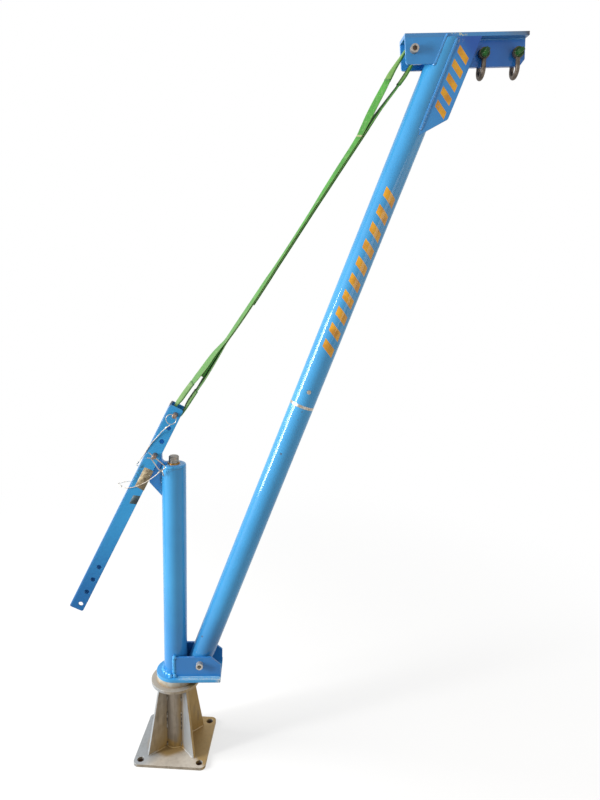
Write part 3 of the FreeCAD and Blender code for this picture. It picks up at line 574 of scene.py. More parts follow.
def bolt_steel(name, axis, rim, socket):
    """Socket screws: dull round the rim, dark and brown in the socket."""
    f = Finish(name)
    patch = f.noise(260, 4)
    away = f.vector("MULTIPLY", f.place, (1, 0, 1), out=0)
    away = f.vector("DISTANCE", away, (axis.x, 0, axis.z))
    colour = f.mix(f.smooth(patch, 0.3, 0.7) * 0.4, rim, (116, 104, 92))
    colour = f.mix(f.smooth(away, 0.0054, 0.0042), colour, socket)
    edge = f.rounded(0.0007)
    colour = f.mix(f.smooth(f.corner(edge), 0.1, 0.4) * 0.5, colour, (196, 190, 182))
    normal = f.bump(patch, 0.0001, edge, 0.5)
    return f.skin(Base_Color=colour, Metallic=0.7, Roughness=0.36 + patch * 0.2, Normal=normal)


pivots = {joint["name"]: Vector(joint["pos_m"]) for joint in frame["joints"]}
foot_steel = bolt_steel("foot_bolt_steel", pivots["boom_luff"], (196, 192, 184), (120, 114, 104))
dress(["foot_bolt", "foot_washer", "foot_nut"], foot_steel)


# Boom. Two tubes butted on a bright ring over an inner spigot, with a screw through the near side.
# The upper tube carries a row of plain orange slanted bars, sprayed through a stencil.
FOOT_PIN = pivots["boom_luff"]
BOOM_LEAN = math.radians(19.6)
BOOM_WAY = Vector((math.sin(BOOM_LEAN), 0, math.cos(BOOM_LEAN)))
BOOM_OUT = Vector((math.cos(BOOM_LEAN), 0, -math.sin(BOOM_LEAN)))
ORANGE = (222, 158, 16)
ORANGE_WORN = (196, 132, 22)
BARS_SLANT = 0.6
BARS_SHARE = 0.52


def slanted_bars(f, colour, run, across, start, pitch, count, half):
    """A number of orange bars along a run, slanted across it."""
    skew = (run - start + across * BARS_SLANT) / pitch
    bar = (skew > 0) * (skew < count) * (abs(across) < half) * (f.calc("FRACT", skew) < BARS_SHARE)
    rub = f.smooth(f.noise(170, 5), 0.22, 0.36)
    shade = f.mix(f.smooth(f.noise(40, 3), 0.4, 0.65), ORANGE, ORANGE_WORN)
    return f.mix(bar * rub, colour, shade)


BARS_START = 0.882
BARS_PITCH = 0.041
BARS_COUNT = 10
BARS_HALF = 0.0165
BARS_TURN = math.radians(10)


def boom_bars(f, colour):
    # the long row, wrapped round the near side of the tube
    run = f.along(BOOM_WAY, FOOT_PIN)
    angle = f.calc("ARCTAN2", f.along(BOOM_OUT, FOOT_PIN), f.along(NEAR))
    across = (angle - BARS_TURN) * TUBE_R
    return slanted_bars(f, colour, run, across, BARS_START, BARS_PITCH, BARS_COUNT, BARS_HALF)


KNOCKS = (
    ((0.0045, -0.0227, 0.0720), 0.0048),
    ((0.1977, -0.0294, 0.5757), 0.0050),
    ((0.2457, -0.0301, 0.6829), 0.0038),
    ((0.2367, -0.0301, 0.6627), 0.0034),
)


def boom_knocks(f, colour):
    # small dark knocks on the near side, down to the primer
    ragged = f.noise(500, 2) * 0.003
    for place, reach in KNOCKS:
        away = f.vector("DISTANCE", f.place, FOOT_PIN + Vector(place))
        colour = f.mix(f.smooth(away + ragged, reach, reach - 0.0016) * 0.8, colour, (74, 66, 62))
    return colour


def boom_tail_shade(f, colour):
    # painted shade: the tail between the cheeks is darker, more so on its right
    run = f.along(BOOM_WAY, FOOT_PIN) + (f.noise(30, 3) - 0.5) * 0.04
    right = f.smooth(f.along(BOOM_OUT, FOOT_PIN), -0.03, 0.02) * 0.35 + 0.3
    return f.mix(f.smooth(run, 0.20, 0.05) * right, colour, (22, 82, 144))


dress(["boom_lower_tube", "boom_foot_sleeve"], blue_paint("blue_paint_boom", boom_tail_shade, boom_knocks))
dress(["boom_upper_tube"], blue_paint("blue_paint_bars", boom_bars))
dress(["boom_joint_ring", "boom_joint_screw", "boom_joint_spigot"], steel)


# Boom head. A top plate with two side plates for the sling's bolt, a web for the shackles and a
# gusset on the near side, all welded to the tube; the gusset carries a shorter row of bars.
HEAD_TILT = math.radians(3.9)
HEAD_ALONG = Vector((math.cos(HEAD_TILT), 0, math.sin(HEAD_TILT)))
HEAD_UP = Vector((-math.sin(HEAD_TILT), 0, math.cos(HEAD_TILT)))
BOOM_LENGTH = 1.628
HEAD_AT = FOOT_PIN + BOOM_WAY * BOOM_LENGTH
HEAD_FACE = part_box("head_gusset")[0].y
GUSSET_MIDDLE = 0.0375
GUSSET_LOW = BOOM_LENGTH - 0.160
GUSSET_PITCH = 0.0298
GUSSET_BARS = 5
GUSSET_BAR_HALF = 0.0145


def gusset_bars_and_shade(f, colour):
    # the short row on the near face, and painted shade up under the top plate
    run = f.along(BOOM_WAY, FOOT_PIN)
    across = f.along(BOOM_OUT, FOOT_PIN) - GUSSET_MIDDLE
    near = f.facing(NEAR) > 0.9
    # painted shade: darker blue up under the top plate
    high = f.smooth(f.along(HEAD_ALONG + HEAD_UP * 0.6, HEAD_AT), -0.04, 0.03)
    colour = f.mix(high * 0.95, colour, (14, 74, 160))
    barred = slanted_bars(f, colour, run, across, GUSSET_LOW, GUSSET_PITCH, GUSSET_BARS, GUSSET_BAR_HALF)
    return f.mix(near, colour, barred)


def head_chips(f, colour):
    # a few chips where the tube meets the top plate
    near = f.smooth(abs(f.along(HEAD_ALONG, HEAD_AT) - 0.012), 0.022, 0.008)
    high = f.smooth(f.along(HEAD_UP, HEAD_AT), -0.034, -0.012)
    chip = near * high * (f.noise(230, 2) > 0.63) * (f.facing(NEAR) > 0.5)
    return f.mix(chip, colour, (206, 208, 176))


def head_end(f, colour):
    # paint worn off the free end of the top plate, and painted shade on the web under it
    out = f.along(HEAD_ALONG, HEAD_AT)
    up = f.along(HEAD_UP, HEAD_AT)
    ragged = out + (f.noise(70, 4) - 0.5) * 0.03
    rim = f.smooth(up, -0.0085, -0.007)
    side = rim * f.smooth(f.facing(HEAD_UP), 0.7, 0.3)
    colour = f.mix(side * (f.smooth(ragged, 0.08, 0.16) * 0.5 + 0.2), colour, (98, 104, 112))
    # painted shade on the web under the top plate, greyer further out
    shaded = f.smooth(out, 0.03, 0.06) * f.smooth(up, -0.006, -0.012)
    further_out = f.smooth(out, 0.08, 0.14)
    colour = f.mix(shaded * 0.75, colour, f.mix(further_out, (32, 114, 218), (36, 102, 188)))
    return f.mix(rim * f.smooth(ragged, 0.150, 0.164) * 0.9, colour, (64, 54, 52))


dress(["head_side_near", "head_side_far"], blue_paint("blue_paint_head", head_painted_shade, painted_inside_light, head_chips))
dress(["head_top_plate", "head_web"], blue_paint("blue_paint_head_end", head_painted_shade, head_chips, head_end))
dress(["head_gusset"], blue_paint("blue_paint_gusset", head_painted_shade, head_chips, gusset_bars_and_shade))
head_steel = bolt_steel("head_bolt_steel", pivots["sling_swing"], (172, 166, 158), (98, 82, 70))
dress(["head_sleeve", "head_bolt", "head_washer", "head_nut"], head_steel)

TOP_PLATE = 0.008
SIDE_DROP = 0.0615
GUSSET_TOE = 0.220
WEB_HALF = 0.005
WEB_DROP = 0.064
WEB_END = 0.166
SEAM_OUT = 0.0012
SIDE_BEAD = 0.0032
SIDE_STOP = 0.0064
WEB_BEAD = 0.003
PLATE_BEAD = 0.0014
GUSSET_BEAD = 0.0043
GUSSET_STOP = 0.0052


def head_welds():
    mesh = bmesh.new()
    aside = math.sqrt(TUBE_R ** 2 - HEAD_FACE ** 2)
    down = HEAD_UP.dot(BOOM_WAY)
    for side in (-1, 1):
        face = Vector((0, side * (abs(HEAD_FACE) + THIN_OUT), 0))
        seam = HEAD_AT - BOOM_OUT * (aside + SEAM_OUT) + face
        toe = seam - BOOM_WAY * (SIDE_DROP / down + 0.009)
        proud = Vector((0, side, 0)) - BOOM_OUT * 0.2
        weld_bead(mesh, [seam - BOOM_WAY * TOP_PLATE, toe], SIDE_BEAD, 31 + side, lift=proud, high=0.1)
        end = toe + Vector((0, -side * 0.0030, 0)) - BOOM_OUT * 0.0015
        weld_bead(mesh, [end + BOOM_WAY * 0.007, end - BOOM_WAY * 0.001], SIDE_STOP, 35 + side)
        weld_lump(mesh, seam - BOOM_WAY * (TOP_PLATE + 0.003) + BOOM_OUT * 0.001, SIDE_BEAD, 37 + side)
        reach = math.sqrt(TUBE_R ** 2 - WEB_HALF ** 2) + WELD_OUT
        flank = Vector((0, side * (WEB_HALF + WELD_OUT), 0))
        seam = HEAD_AT + BOOM_OUT * reach + flank
        run = [seam - BOOM_WAY * 0.024, seam - BOOM_WAY * (WEB_DROP + 0.010)]
        weld_bead(mesh, run, WEB_BEAD, 41 + side)
        under = HEAD_AT - HEAD_UP * (TOP_PLATE + RING_OUT) + flank
        weld_bead(mesh, [under + HEAD_ALONG * 0.032, under + HEAD_ALONG * WEB_END], PLATE_BEAD, 51 + side)
    seam = HEAD_AT + BOOM_OUT * (aside + SEAM_OUT) + Vector((0, HEAD_FACE - THIN_OUT, 0))
    run = [seam - BOOM_WAY * TOP_PLATE, seam - BOOM_WAY * (GUSSET_TOE - 0.010)]
    weld_bead(mesh, run, GUSSET_BEAD, 61, lift=NEAR, high=0.42)
    end = seam + Vector((0, 0.0026, 0))
    stop = [end - BOOM_WAY * (GUSSET_TOE - 0.016), end - BOOM_WAY * (GUSSET_TOE - 0.008)]
    weld_bead(mesh, stop, GUSSET_STOP, 63)
    return mesh


piece("head_welds", head_welds(), blue_paint("blue_paint_seam", head_painted_shade, gloss=1.0), "boom")


# Shackles. Two forged bow shackles hang from the web, dull galvanised; their screw pins are painted
# green, rubbed to steel on collar and tab.
def dull_zinc(name):
    f = Finish(name)
    patch = f.noise(120, 4)
    pit = f.noise(700, 3)
    colour = f.mix(f.smooth(patch, 0.3, 0.7), (108, 98, 88), (78, 69, 60))
    colour = f.mix(f.smooth(f.noise(60, 4), 0.55, 0.7) * 0.6, colour, (84, 66, 50))
    edge = f.rounded(0.001)
    normal = f.bump(pit, 0.0002, edge, 0.6)
    return f.skin(Base_Color=colour, Metallic=0.75, Roughness=0.4 + pit * 0.2, Normal=normal)


def green_paint(name):
    f = Finish(name)
    rub = f.noise(240, 4)
    edge = f.rounded(0.0009)
    bare = f.smooth(f.corner(edge) + rub * 0.5, 0.42, 0.55)
    colour = f.mix(f.smooth(f.noise(80, 3), 0.35, 0.7), (14, 76, 14), (9, 56, 10))
    colour = f.mix(bare, colour, (150, 146, 136))
    return f.skin(
        Base_Color=colour,
        Metallic=bare * 0.8,
        Roughness=0.4 + rub * 0.2,
        Specular_IOR_Level=0.35,
        Normal=f.bump(rub, 0.0002, edge, 0.5),
    )


dress(["shackle_1_bow", "shackle_2_bow"], dull_zinc("dull_zinc"))
dress(["shackle_1_pin", "shackle_2_pin"], green_paint("green_paint"))


# Adjuster bar. A folded channel with a row of holes at each end, pinned to the mast's lug, painted
# like the mast; its web ends are rusty and a smudge runs beside the label on its near flange.
LUG_PIN = pivots["bar_swing"]
BAR_LEAN = math.radians(25.9)
BAR_WAY = Vector((math.sin(BAR_LEAN), 0, math.cos(BAR_LEAN)))
BAR_BACK = Vector((-math.cos(BAR_LEAN), 0, math.sin(BAR_LEAN)))
BAR_TOP = 0.131
BAR_LENGTH = 0.594
BAR_BOTTOM = BAR_TOP - BAR_LENGTH
BAR_TIP = 0.008
BAR_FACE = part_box("adjuster_bar")[0].y


def bar_wear_and_shade(f, colour):
    # painted shade low down and along its folds, rusty tips, and the smudge beside the label
    run = f.along(BAR_WAY, LUG_PIN)
    back = f.along(BAR_BACK, LUG_PIN)
    rub = f.noise(150, 4)
    past_end = f.calc("MAXIMUM", run - (BAR_TOP - BAR_TIP), (BAR_BOTTOM + BAR_TIP) - run)
    tips = f.smooth(past_end * 90 + rub, 0.55, 1.2)
    rust = tips * f.smooth(back * 60 + rub, 1.3, 2.0)
    # painted shade: darker towards the bottom of the bar
    colour = f.mix(f.smooth(run + (rub - 0.5) * 0.1, -0.12, -0.46) * 0.85, colour, (30, 90, 152))
    colour = f.mix(rust, colour, (96, 70, 52))
    # painted shade: the folds are darkened where the light from the left would catch them
    turned = f.facing(BAR_BACK)
    fold_shade = f.smooth(turned, 0.1, 0.4) * f.smooth(turned, 0.98, 0.85)
    colour = f.mix(fold_shade * 0.85, colour, (26, 78, 124))
    beside = f.smooth(abs(back - 0.017), 0.008, 0.003) * f.smooth(abs(run + 0.058), 0.034, 0.018)
    return f.mix(beside * f.smooth(rub, 0.35, 0.6) * 0.75, colour, (52, 98, 120))


dress(["adjuster_bar"], blue_paint("blue_paint_bar", painted_inside_light, bar_wear_and_shade, edge_radius=0.0006, gloss=0.05))
dress(["lug_clip", "clip_ring", "sling_pin_ring"], steel)


def worn_pin(name):
    f = Finish(name)
    patch = f.noise(260, 4)
    colour = f.mix(f.smooth(patch, 0.35, 0.65), (150, 132, 118), (112, 88, 74))
    edge = f.rounded(0.0007)
    colour = f.mix(f.smooth(f.corner(edge), 0.1, 0.4) * 0.6, colour, (188, 178, 166))
    normal = f.bump(patch, 0.0002, edge, 0.5)
    return f.skin(Base_Color=colour, Metallic=0.6, Roughness=0.4 + patch * 0.2, Normal=normal)


dress(["lug_pin", "sling_pin"], worn_pin("worn_pin"))

LABEL_THICK = 0.0003
LABEL_CORNER = 0.0012


def decal(name, corners, material):
    """A stuck-on label: a thin four-sided sheet on the bar's near flange, with soft corners."""
    mesh = bmesh.new()
    ring = []
    for k in range(4):
        at = Vector(corners[k])
        before = (Vector(corners[k - 1]) - at).normalized()
        after = (Vector(corners[(k + 1) % 4]) - at).normalized()
        ring.append(at + before * LABEL_CORNER)
        ring.append(at + (before + after) * 0.0004)
        ring.append(at + after * LABEL_CORNER)
    lower = [Vector((spot.x, BAR_FACE - 0.00002, spot.y)) for spot in ring]
    upper = [point + NEAR * LABEL_THICK for point in lower]
    sweep(mesh, [lower, upper])
    piece(name, mesh, material, "tie_bar")


def worn_card(name):
    f = Finish(name)
    fibre = f.noise(700, 4)
    patch = f.noise(70, 4)
    colour = f.mix(f.smooth(patch, 0.35, 0.7), (182, 166, 134), (150, 132, 102))
    colour = f.mix(f.smooth(f.noise(150, 5), 0.52, 0.64) * 0.6, colour, (104, 84, 64))
    colour = f.mix(f.smooth(f.noise(260, 3), 0.62, 0.68) * 0.7, colour, (66, 52, 42))
    return f.skin(Base_Color=colour, Roughness=0.75, Normal=f.bump(fibre, 0.0002))


def grey_film(name):
    f = Finish(name)
    patch = f.noise(110, 4)
    colour = f.mix(f.smooth(patch, 0.35, 0.7), (74, 96, 104), (60, 78, 84))
    return f.skin(Base_Color=colour, Roughness=0.35 + patch * 0.3, Normal=f.bump(patch, 0.0001))


LABEL = ((-0.0682, 0.8010), (-0.0463, 0.7912), (-0.0713, 0.7398), (-0.0928, 0.7520))
STICKER = ((-0.0974, 0.7281), (-0.0792, 0.7260), (-0.0899, 0.7040), (-0.1075, 0.7063))
decal("bar_label", LABEL, worn_card("worn_card"))
decal("bar_sticker", STICKER, grey_film("grey_film"))


# Lanyards. Thin wire in a pale coat, looped on the clip and on the split ring, across the bar's
# near flange and round to its back, with a crimped ferrule near each end.
LANYARD_D = 0.0018
CROSS_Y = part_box("sling_pin_ring")[0].y + 0.0009


def bar_point(along, back, y):
    point = LUG_PIN + BAR_WAY * along + BAR_BACK * back
    return Vector((point.x, y, point.z))


def pale_wire(name):
    f = Finish(name)
    grime = f.noise(160, 3)
    colour = f.mix(f.smooth(grime, 0.35, 0.7), (222, 214, 204), (176, 160, 142))
    strand = f.noise(2600, 2)
    return f.skin(Base_Color=colour, Roughness=0.5, Normal=f.bump(strand, 0.0001))


def crimp(name):
    f = Finish(name)
    dent = f.noise(420, 3)
    colour = f.mix(dent, (188, 184, 178), (138, 132, 124))
    normal = f.bump(dent, 0.0003)
    return f.skin(Base_Color=colour, Metallic=0.8, Roughness=0.35 + dent * 0.2, Normal=normal)


def lanyard(name, route, node):
    data = bpy.data.curves.new(name, "CURVE")
    data.dimensions = "3D"
    data.bevel_depth = LANYARD_D / 2
    data.bevel_resolution = 3
    data.resolution_u = 8
    data.use_fill_caps = True
    line = data.splines.new("NURBS")
    line.points.add(len(route) - 1)
    for point, at in zip(line.points, route):
        point.co = (*at, 1.0)
    line.order_u = 3
    line.use_endpoint_u = True
    cord = put(name, data)
    data.materials.append(wire)
    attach(cord, "tie_bar")
    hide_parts(node)


wire = pale_wire("pale_wire")
dress(["lanyard_ferrules"], crimp("crimped_aluminium"))
CLIP_HANG = math.radians(-56.8)
CLIP_BOW_AT = 0.0301
CLIP_LOOP = 0.01045
RING_LOOP = 0.0140
bow_middle = LUG_PIN + Vector((math.cos(CLIP_HANG), 0, math.sin(CLIP_HANG))) * CLIP_BOW_AT
bow_middle.y = CROSS_Y
ring_low, ring_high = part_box("sling_pin_ring")
ring_middle = (ring_low + ring_high) / 2
HANG = math.radians(8)
lanyard_way = Vector((-math.sin(HANG), 0, -math.cos(HANG)))
CLIP_ROUTE = (
    (-0.0380, -0.0253, -0.0305), (-0.0495, -0.0210, -0.0276), (-0.0619, -0.0150, -0.0246),
    (-0.0791, -0.0055, -0.0223), (-0.0954, 0.0081, -0.0221), (-0.1046, 0.0201, -0.0220),
    (-0.1098, 0.0275, -0.0205), (-0.1125, 0.0380, -0.0150), (-0.1148, 0.0455, -0.0105),
    (-0.1158, 0.0498, -0.0065), (-0.1146, 0.0500, -0.0022), (-0.1100, 0.0440, -0.0006),
    (-0.1035, 0.0365, -0.0002), (-0.0990, 0.0295, 0.0), (-0.0975, 0.0244, 0.0),
)
clip_route = [bow_middle + lanyard_way * CLIP_LOOP] + [bar_point(*spot) for spot in CLIP_ROUTE]
SLING_ROUTE = (
    (0.0670, 0.0100, -0.0254), (0.0482, 0.0137, -0.0224), (0.0220, 0.0214, -0.0221),
    (0.0006, 0.0236, -0.0212), (-0.0192, 0.0254, -0.0155), (-0.0377, 0.0287, -0.0090),
    (-0.0460, 0.0304, -0.0055), (-0.0510, 0.0302, -0.0022), (-0.0525, 0.0272, -0.0006),
    (-0.0518, 0.0244, 0.0),
)
sling_route = [ring_middle + lanyard_way * RING_LOOP] + [bar_point(*spot) for spot in SLING_ROUTE]
lanyard("clip_lanyard_wire", clip_route, "clip_lanyard")
lanyard("sling_pin_lanyard_wire", sling_route, "sling_pin_lanyard")


# Tie sling. Green polyester webbing sewn into a long eye at each end, two plies thick with a third
# under its upper part; wear sleeves cover both eyes. It is taut, sags a little and has a slight twist.
HEAD_PIN = pivots["sling_swing"]
PIN_TO_PIN = 0.114
SLING_PIN = LUG_PIN + BAR_WAY * PIN_TO_PIN
SLING_RUN = HEAD_PIN - SLING_PIN
SLING_L = SLING_RUN.length
SLING_WAY = SLING_RUN.normalized()
SLING_UNDER = Vector((SLING_WAY.z, 0, -SLING_WAY.x))
ACROSS = Vector((0, 1, 0))
PLY_HALF = 0.0013
WEB_WIDE = 0.015
EYE_R = 0.013
LOW_EYE_MIDDLE = 0.0051
UPPER_LINE = (
    (0, -13), (0.018, -11.4), (0.035, -9.6), (0.055, -8.8), (0.075, -7.8), (0.095, -6.4),
    (0.115, -4.8), (0.14, -3.2), (0.173, -1.6), (0.193, 1), (0.213, 4), (0.24, 5), (0.3, 6.1),
    (0.384, 6.5), (0.47, 6.8), (0.565, 6.1), (0.628, 5.2), (0.69, 4.6), (0.768, 4.2), (0.795, 1.2),
    (0.823, -2.4), (0.85, -5.5), (0.88, -8.5), (0.91, -11.7), (0.93, -13.1), (0.978, -13),
)
UNDER_LINE = (
    (0, 13), (0.018, 12), (0.04, 10.7), (0.08, 11), (0.12, 10.5), (0.152, 9.7), (0.186, 8.3),
    (0.213, 7), (0.24, 7.5), (0.3, 8.7), (0.384, 9.1), (0.47, 9.4), (0.565, 8.7), (0.628, 7.8),
    (0.69, 7.2), (0.768, 6.9), (0.8, 7.7), (0.84, 9.8), (0.87, 12), (0.901, 14.2), (0.93, 15.4),
    (0.952, 14.6), (0.978, 13),
)
UPPER_TWIST = (
    (0, 0), (0.035, 25), (0.06, 26), (0.084, 24), (0.11, 22.5), (0.145, 23.5), (0.173, 18),
    (0.193, 13), (0.213, 9.5), (0.265, 13), (0.3, 13), (0.384, 11), (0.435, 6.5), (0.565, 6.5),
    (0.628, 11.5), (0.69, 14.5), (0.768, 18), (0.823, 26.5), (0.865, 26.5), (0.89, 25), (0.91, 29),
    (0.93, 20), (0.978, 0),
)
UNDER_TWIST = (
    (0, 0), (0.035, 18), (0.065, 17), (0.09, 14.5), (0.12, 14.5), (0.186, 11), (0.213, 9.5),
    (0.265, 13), (0.3, 13), (0.384, 11), (0.435, 6.5), (0.565, 6.5), (0.628, 11.5), (0.69, 14.5),
    (0.768, 18), (0.8, 15), (0.84, 12), (0.9, 10), (0.916, 12), (0.935, 13), (0.978, 0),
)


def between(x, stops):
    """A value that passes smoothly through every stop."""
    if x <= stops[0][0]:
        return stops[0][1]
    for k in range(len(stops) - 1):
        (x0, v0), (x1, v1) = stops[k], stops[k + 1]
        if x <= x1:
            before = stops[max(k - 1, 0)]
            after = stops[min(k + 2, len(stops) - 1)]
            rise0 = (v1 - before[1]) / (x1 - before[0])
            rise1 = (after[1] - v0) / (after[0] - x0)
            t = (x - x0) / (x1 - x0)
            bend = (x1 - x0) * t * (1 - t) * (rise0 * (1 - t) - rise1 * t)
            return v0 + (v1 - v0) * t * t * (3 - 2 * t) + bend
    return stops[-1][1]


def sling_station(s, side):
    """Middle of a ply, its flat direction and its thick direction; side is -1 above and 1 under."""
    twist = math.radians(between(s, UPPER_TWIST if side < 0 else UNDER_TWIST))
    line = between(s, UPPER_LINE if side < 0 else UNDER_LINE) / 1000
    thick = SLING_UNDER * math.cos(twist) + ACROSS * math.sin(twist)
    flat = ACROSS * math.cos(twist) - SLING_UNDER * math.sin(twist)
    return SLING_PIN + SLING_WAY * s + SLING_UNDER * line, flat, thick


def turn_station(centre, angle):
    """The same round an eye's end; the angle runs from the upper leg to the lower one."""
    thick = SLING_UNDER * math.sin(angle) + SLING_WAY * math.cos(angle)
    return SLING_PIN + SLING_WAY * centre + thick * EYE_R, ACROSS, thick


BAND_SIDES = 20


def band_ring(station, wide, half, square):
    middle, flat, thick = station
    ring = []
    for m in range(BAND_SIDES):
        a = math.tau * m / BAND_SIDES
        c = math.copysign(abs(math.cos(a)) ** square, math.cos(a))
        t = math.copysign(abs(math.sin(a)) ** 0.75, math.sin(a))
        ring.append(middle + flat * wide * c + thick * half * t)
    return ring


def add_band(mesh, stations, sizes, closed=False, square=0.35):
    """A strap along stations, with the place across and along it kept for the weave."""
    web = mesh.loops.layers.uv.verify()
    rings = [band_ring(station, wide, half, square) for station, (wide, half) in zip(stations, sizes)]
    run = [0.0]
    for a, b in zip(stations, stations[1:]):
        run.append(run[-1] + (b[0] - a[0]).length)
    if closed:
        run.append(run[-1] + (stations[0][0] - stations[-1][0]).length)
    else:
        run.append(run[-1])
    bands = sweep(mesh, rings, closed)
    for k, band in enumerate(bands):
        wide, half = sizes[k]
        for m, face in enumerate(band):
            across = [math.cos(math.tau * j / BAND_SIDES) * wide for j in (m, m + 1)]
            spots = [(across[i], run[k + j]) for i, j in ((0, 0), (1, 0), (1, 1), (0, 1))]
            for loop, spot in zip(face.loops, spots):
                loop[web].uv = spot


LEG_STEP = 0.006
EYE_STEPS = 14
QUARTER = math.pi / 2


def leg(start, end, side, step=LEG_STEP):
    count = max(2, round(abs(end - start) / step))
    places = [start + (end - start) * k / count for k in range(count + 1)]
    return places, [sling_station(s, side) for s in places]


def eye_turn(centre, first, last):
    angles = [first + (last - first) * k / EYE_STEPS for k in range(1, EYE_STEPS)]
    return [turn_station(centre, angle) for angle in angles]


def eye_run(start_up, start_down, end, turn, step=LEG_STEP):
    """Places and stations along the upper leg, round an eye and back along the under leg."""
    up_at, up = leg(start_up, end, -1, step)
    down_at, down = leg(end, start_down, 1, step)
    bend = eye_turn(end, *turn)
    over = [(middle, flat, thick * -1) for middle, flat, thick in up]
    return up_at + [end] * len(bend) + down_at, over + bend + down


SLEEVE_TOP_UPPER = 0.9026
SLEEVE_TOP_UNDER = 0.9109
SLEEVE_LOW_UPPER = 0.084
SLEEVE_LOW_UNDER = 0.072
THIRD_PLY = (0.3236, 0.845)
SEWN_TAB = (0.112, 0.215)


def web_width(s):
    low = ((0.030, 0.0100), (0.078, 0.0105), (0.105, WEB_WIDE))
    return between(s, low + ((0.885, WEB_WIDE), (0.915, 0.0098), (0.960, 0.0095)))


def webbing():
    mesh = bmesh.new()
    places, stations = eye_run(LOW_EYE_MIDDLE, LOW_EYE_MIDDLE, SLING_L, (-QUARTER, QUARTER))
    low = eye_turn(LOW_EYE_MIDDLE, QUARTER, 3 * QUARTER)
    places += [LOW_EYE_MIDDLE] * len(low)
    add_band(mesh, stations + low, [(web_width(s), PLY_HALF) for s in places], closed=True)
    under_at, under = leg(*THIRD_PLY, 1)
    tucked = [between(s, ((0.79, PLY_HALF * 2), (0.845, PLY_HALF * 0.2))) for s in under_at]
    under = [(middle + thick * deep, flat, thick) for (middle, flat, thick), deep in zip(under, tucked)]
    add_band(mesh, under, [(WEB_WIDE * 0.97, PLY_HALF)] * len(under))
    tab_up = leg(*SEWN_TAB, -1)[1]
    tab_down = leg(*SEWN_TAB, 1)[1]
    tab = []
    sizes = []
    for (over, flat, thick), (below, flat_under, thick_under) in zip(tab_up, tab_down):
        gap = (below - over).length - abs(flat.z) * WEB_WIDE * 2
        tab.append((over.lerp(below, 0.42), flat_under, thick_under))
        sizes.append((WEB_WIDE * 0.8, max(PLY_HALF, gap / 2)))
    add_band(mesh, tab, sizes)
    return mesh


SLEEVE_LOW_SIZE = ((0.0, 13.2, 2.2), (0.012, 13.0, 2.2), (0.032, 11.4, 3.3), (0.08, 11.4, 3.3))
SLEEVE_TOP_SIZE = ((0.90, 11.2, 3.4), (SLING_L, 11.2, 3.4))


def sleeve_size(s, table):
    wide = between(s, [(at, a) for at, a, b in table])
    half = between(s, [(at, b) for at, a, b in table])
    return wide / 1000, half / 1000


def sleeves():
    mesh = bmesh.new()
    for start_up, start_down, end, table, turn in (
        (SLEEVE_TOP_UPPER, SLEEVE_TOP_UNDER, SLING_L, SLEEVE_TOP_SIZE, (-QUARTER, QUARTER)),
        (SLEEVE_LOW_UPPER, SLEEVE_LOW_UNDER, LOW_EYE_MIDDLE, SLEEVE_LOW_SIZE, (-QUARTER, -3 * QUARTER)),
    ):
        places, stations = eye_run(start_up, start_down, end, turn, LEG_STEP / 2)
        sizes = [sleeve_size(s, table) for s in places]
        for tip in (0, -1):
            wide, half = sizes[tip]
            sizes[tip] = (wide * 0.95, half * 0.75)
        add_band(mesh, stations, sizes, square=0.7)
    return mesh


def hems():
    mesh = bmesh.new()
    for place, side, table, way in (
        (SLEEVE_TOP_UPPER, -1, SLEEVE_TOP_SIZE, 1),
        (SLEEVE_TOP_UNDER, 1, SLEEVE_TOP_SIZE, 1),
        (SLEEVE_LOW_UPPER, -1, SLEEVE_LOW_SIZE, -1),
        (SLEEVE_LOW_UNDER, 1, SLEEVE_LOW_SIZE, -1),
    ):
        stations = leg(place - way * 0.0010, place + way * 0.0024, side, 0.0008)[1]
        wide, half = sleeve_size(place, table)
        count = len(stations)
        swells = [1.0 + 0.06 * math.sin(math.pi * (k + 0.35) / count) for k in range(count)]
        add_band(mesh, stations, [(wide * swell, half * swell) for swell in swells], square=0.7)
    return mesh


STITCH_RUN = 0.768
PICK = 0.0019


def green_web(name, pale, deep, rib):
    f = Finish(name)
    spot = f.add("ShaderNodeUVMap")
    across, run = [f.add("ShaderNodeSeparateXYZ", None, {0: spot}, axis) for axis in (0, 1)]
    pick = f.calc("SINE", run * (math.tau / PICK))
    warp = f.calc("SINE", across * (math.tau / rib))
    weave = pick * warp
    fade = f.noise(24, 3)
    colour = f.mix(f.smooth(fade, 0.3, 0.7), pale, deep)
    bleached = f.smooth(f.along(SLING_WAY, SLING_PIN), 0.62, 0.12)
    colour = f.mix(bleached * 0.6, colour, (98, 124, 86))
    colour = f.mix(f.smooth(weave, -0.2, 0.9) * 0.3, colour, (62, 116, 60))
    colour = f.mix(f.smooth(abs(across), 0.0122, 0.0148) * 0.3, colour, (160, 166, 120))
    dust = f.smooth(f.noise(90, 4), 0.55, 0.75)
    colour = f.mix(dust * 0.25, colour, (166, 178, 142))
    fleck = f.smooth(f.noise(420, 2), 0.52, 0.68)
    colour = f.mix(fleck * 0.35, colour, (140, 176, 104))
    # partly a fresher, unfaded green on the under face, partly painted light on that shaded side
    fresh_and_painted_light = f.smooth(f.facing(SLING_UNDER), 0.0, 0.6)
    colour = f.mix(fresh_and_painted_light * 0.85, colour, (66, 160, 60))
    tack = f.smooth(abs(run - STITCH_RUN), 0.0024, 0.0012)
    colour = f.mix(tack * 0.85, colour, (156, 150, 118))
    return f.skin(
        Base_Color=colour,
        Roughness=0.82,
        Normal=f.bump(weave + warp * 0.8, 0.0002, None, 0.35),
        Specular_IOR_Level=0.2,
        Sheen_Weight=0.06,
    )


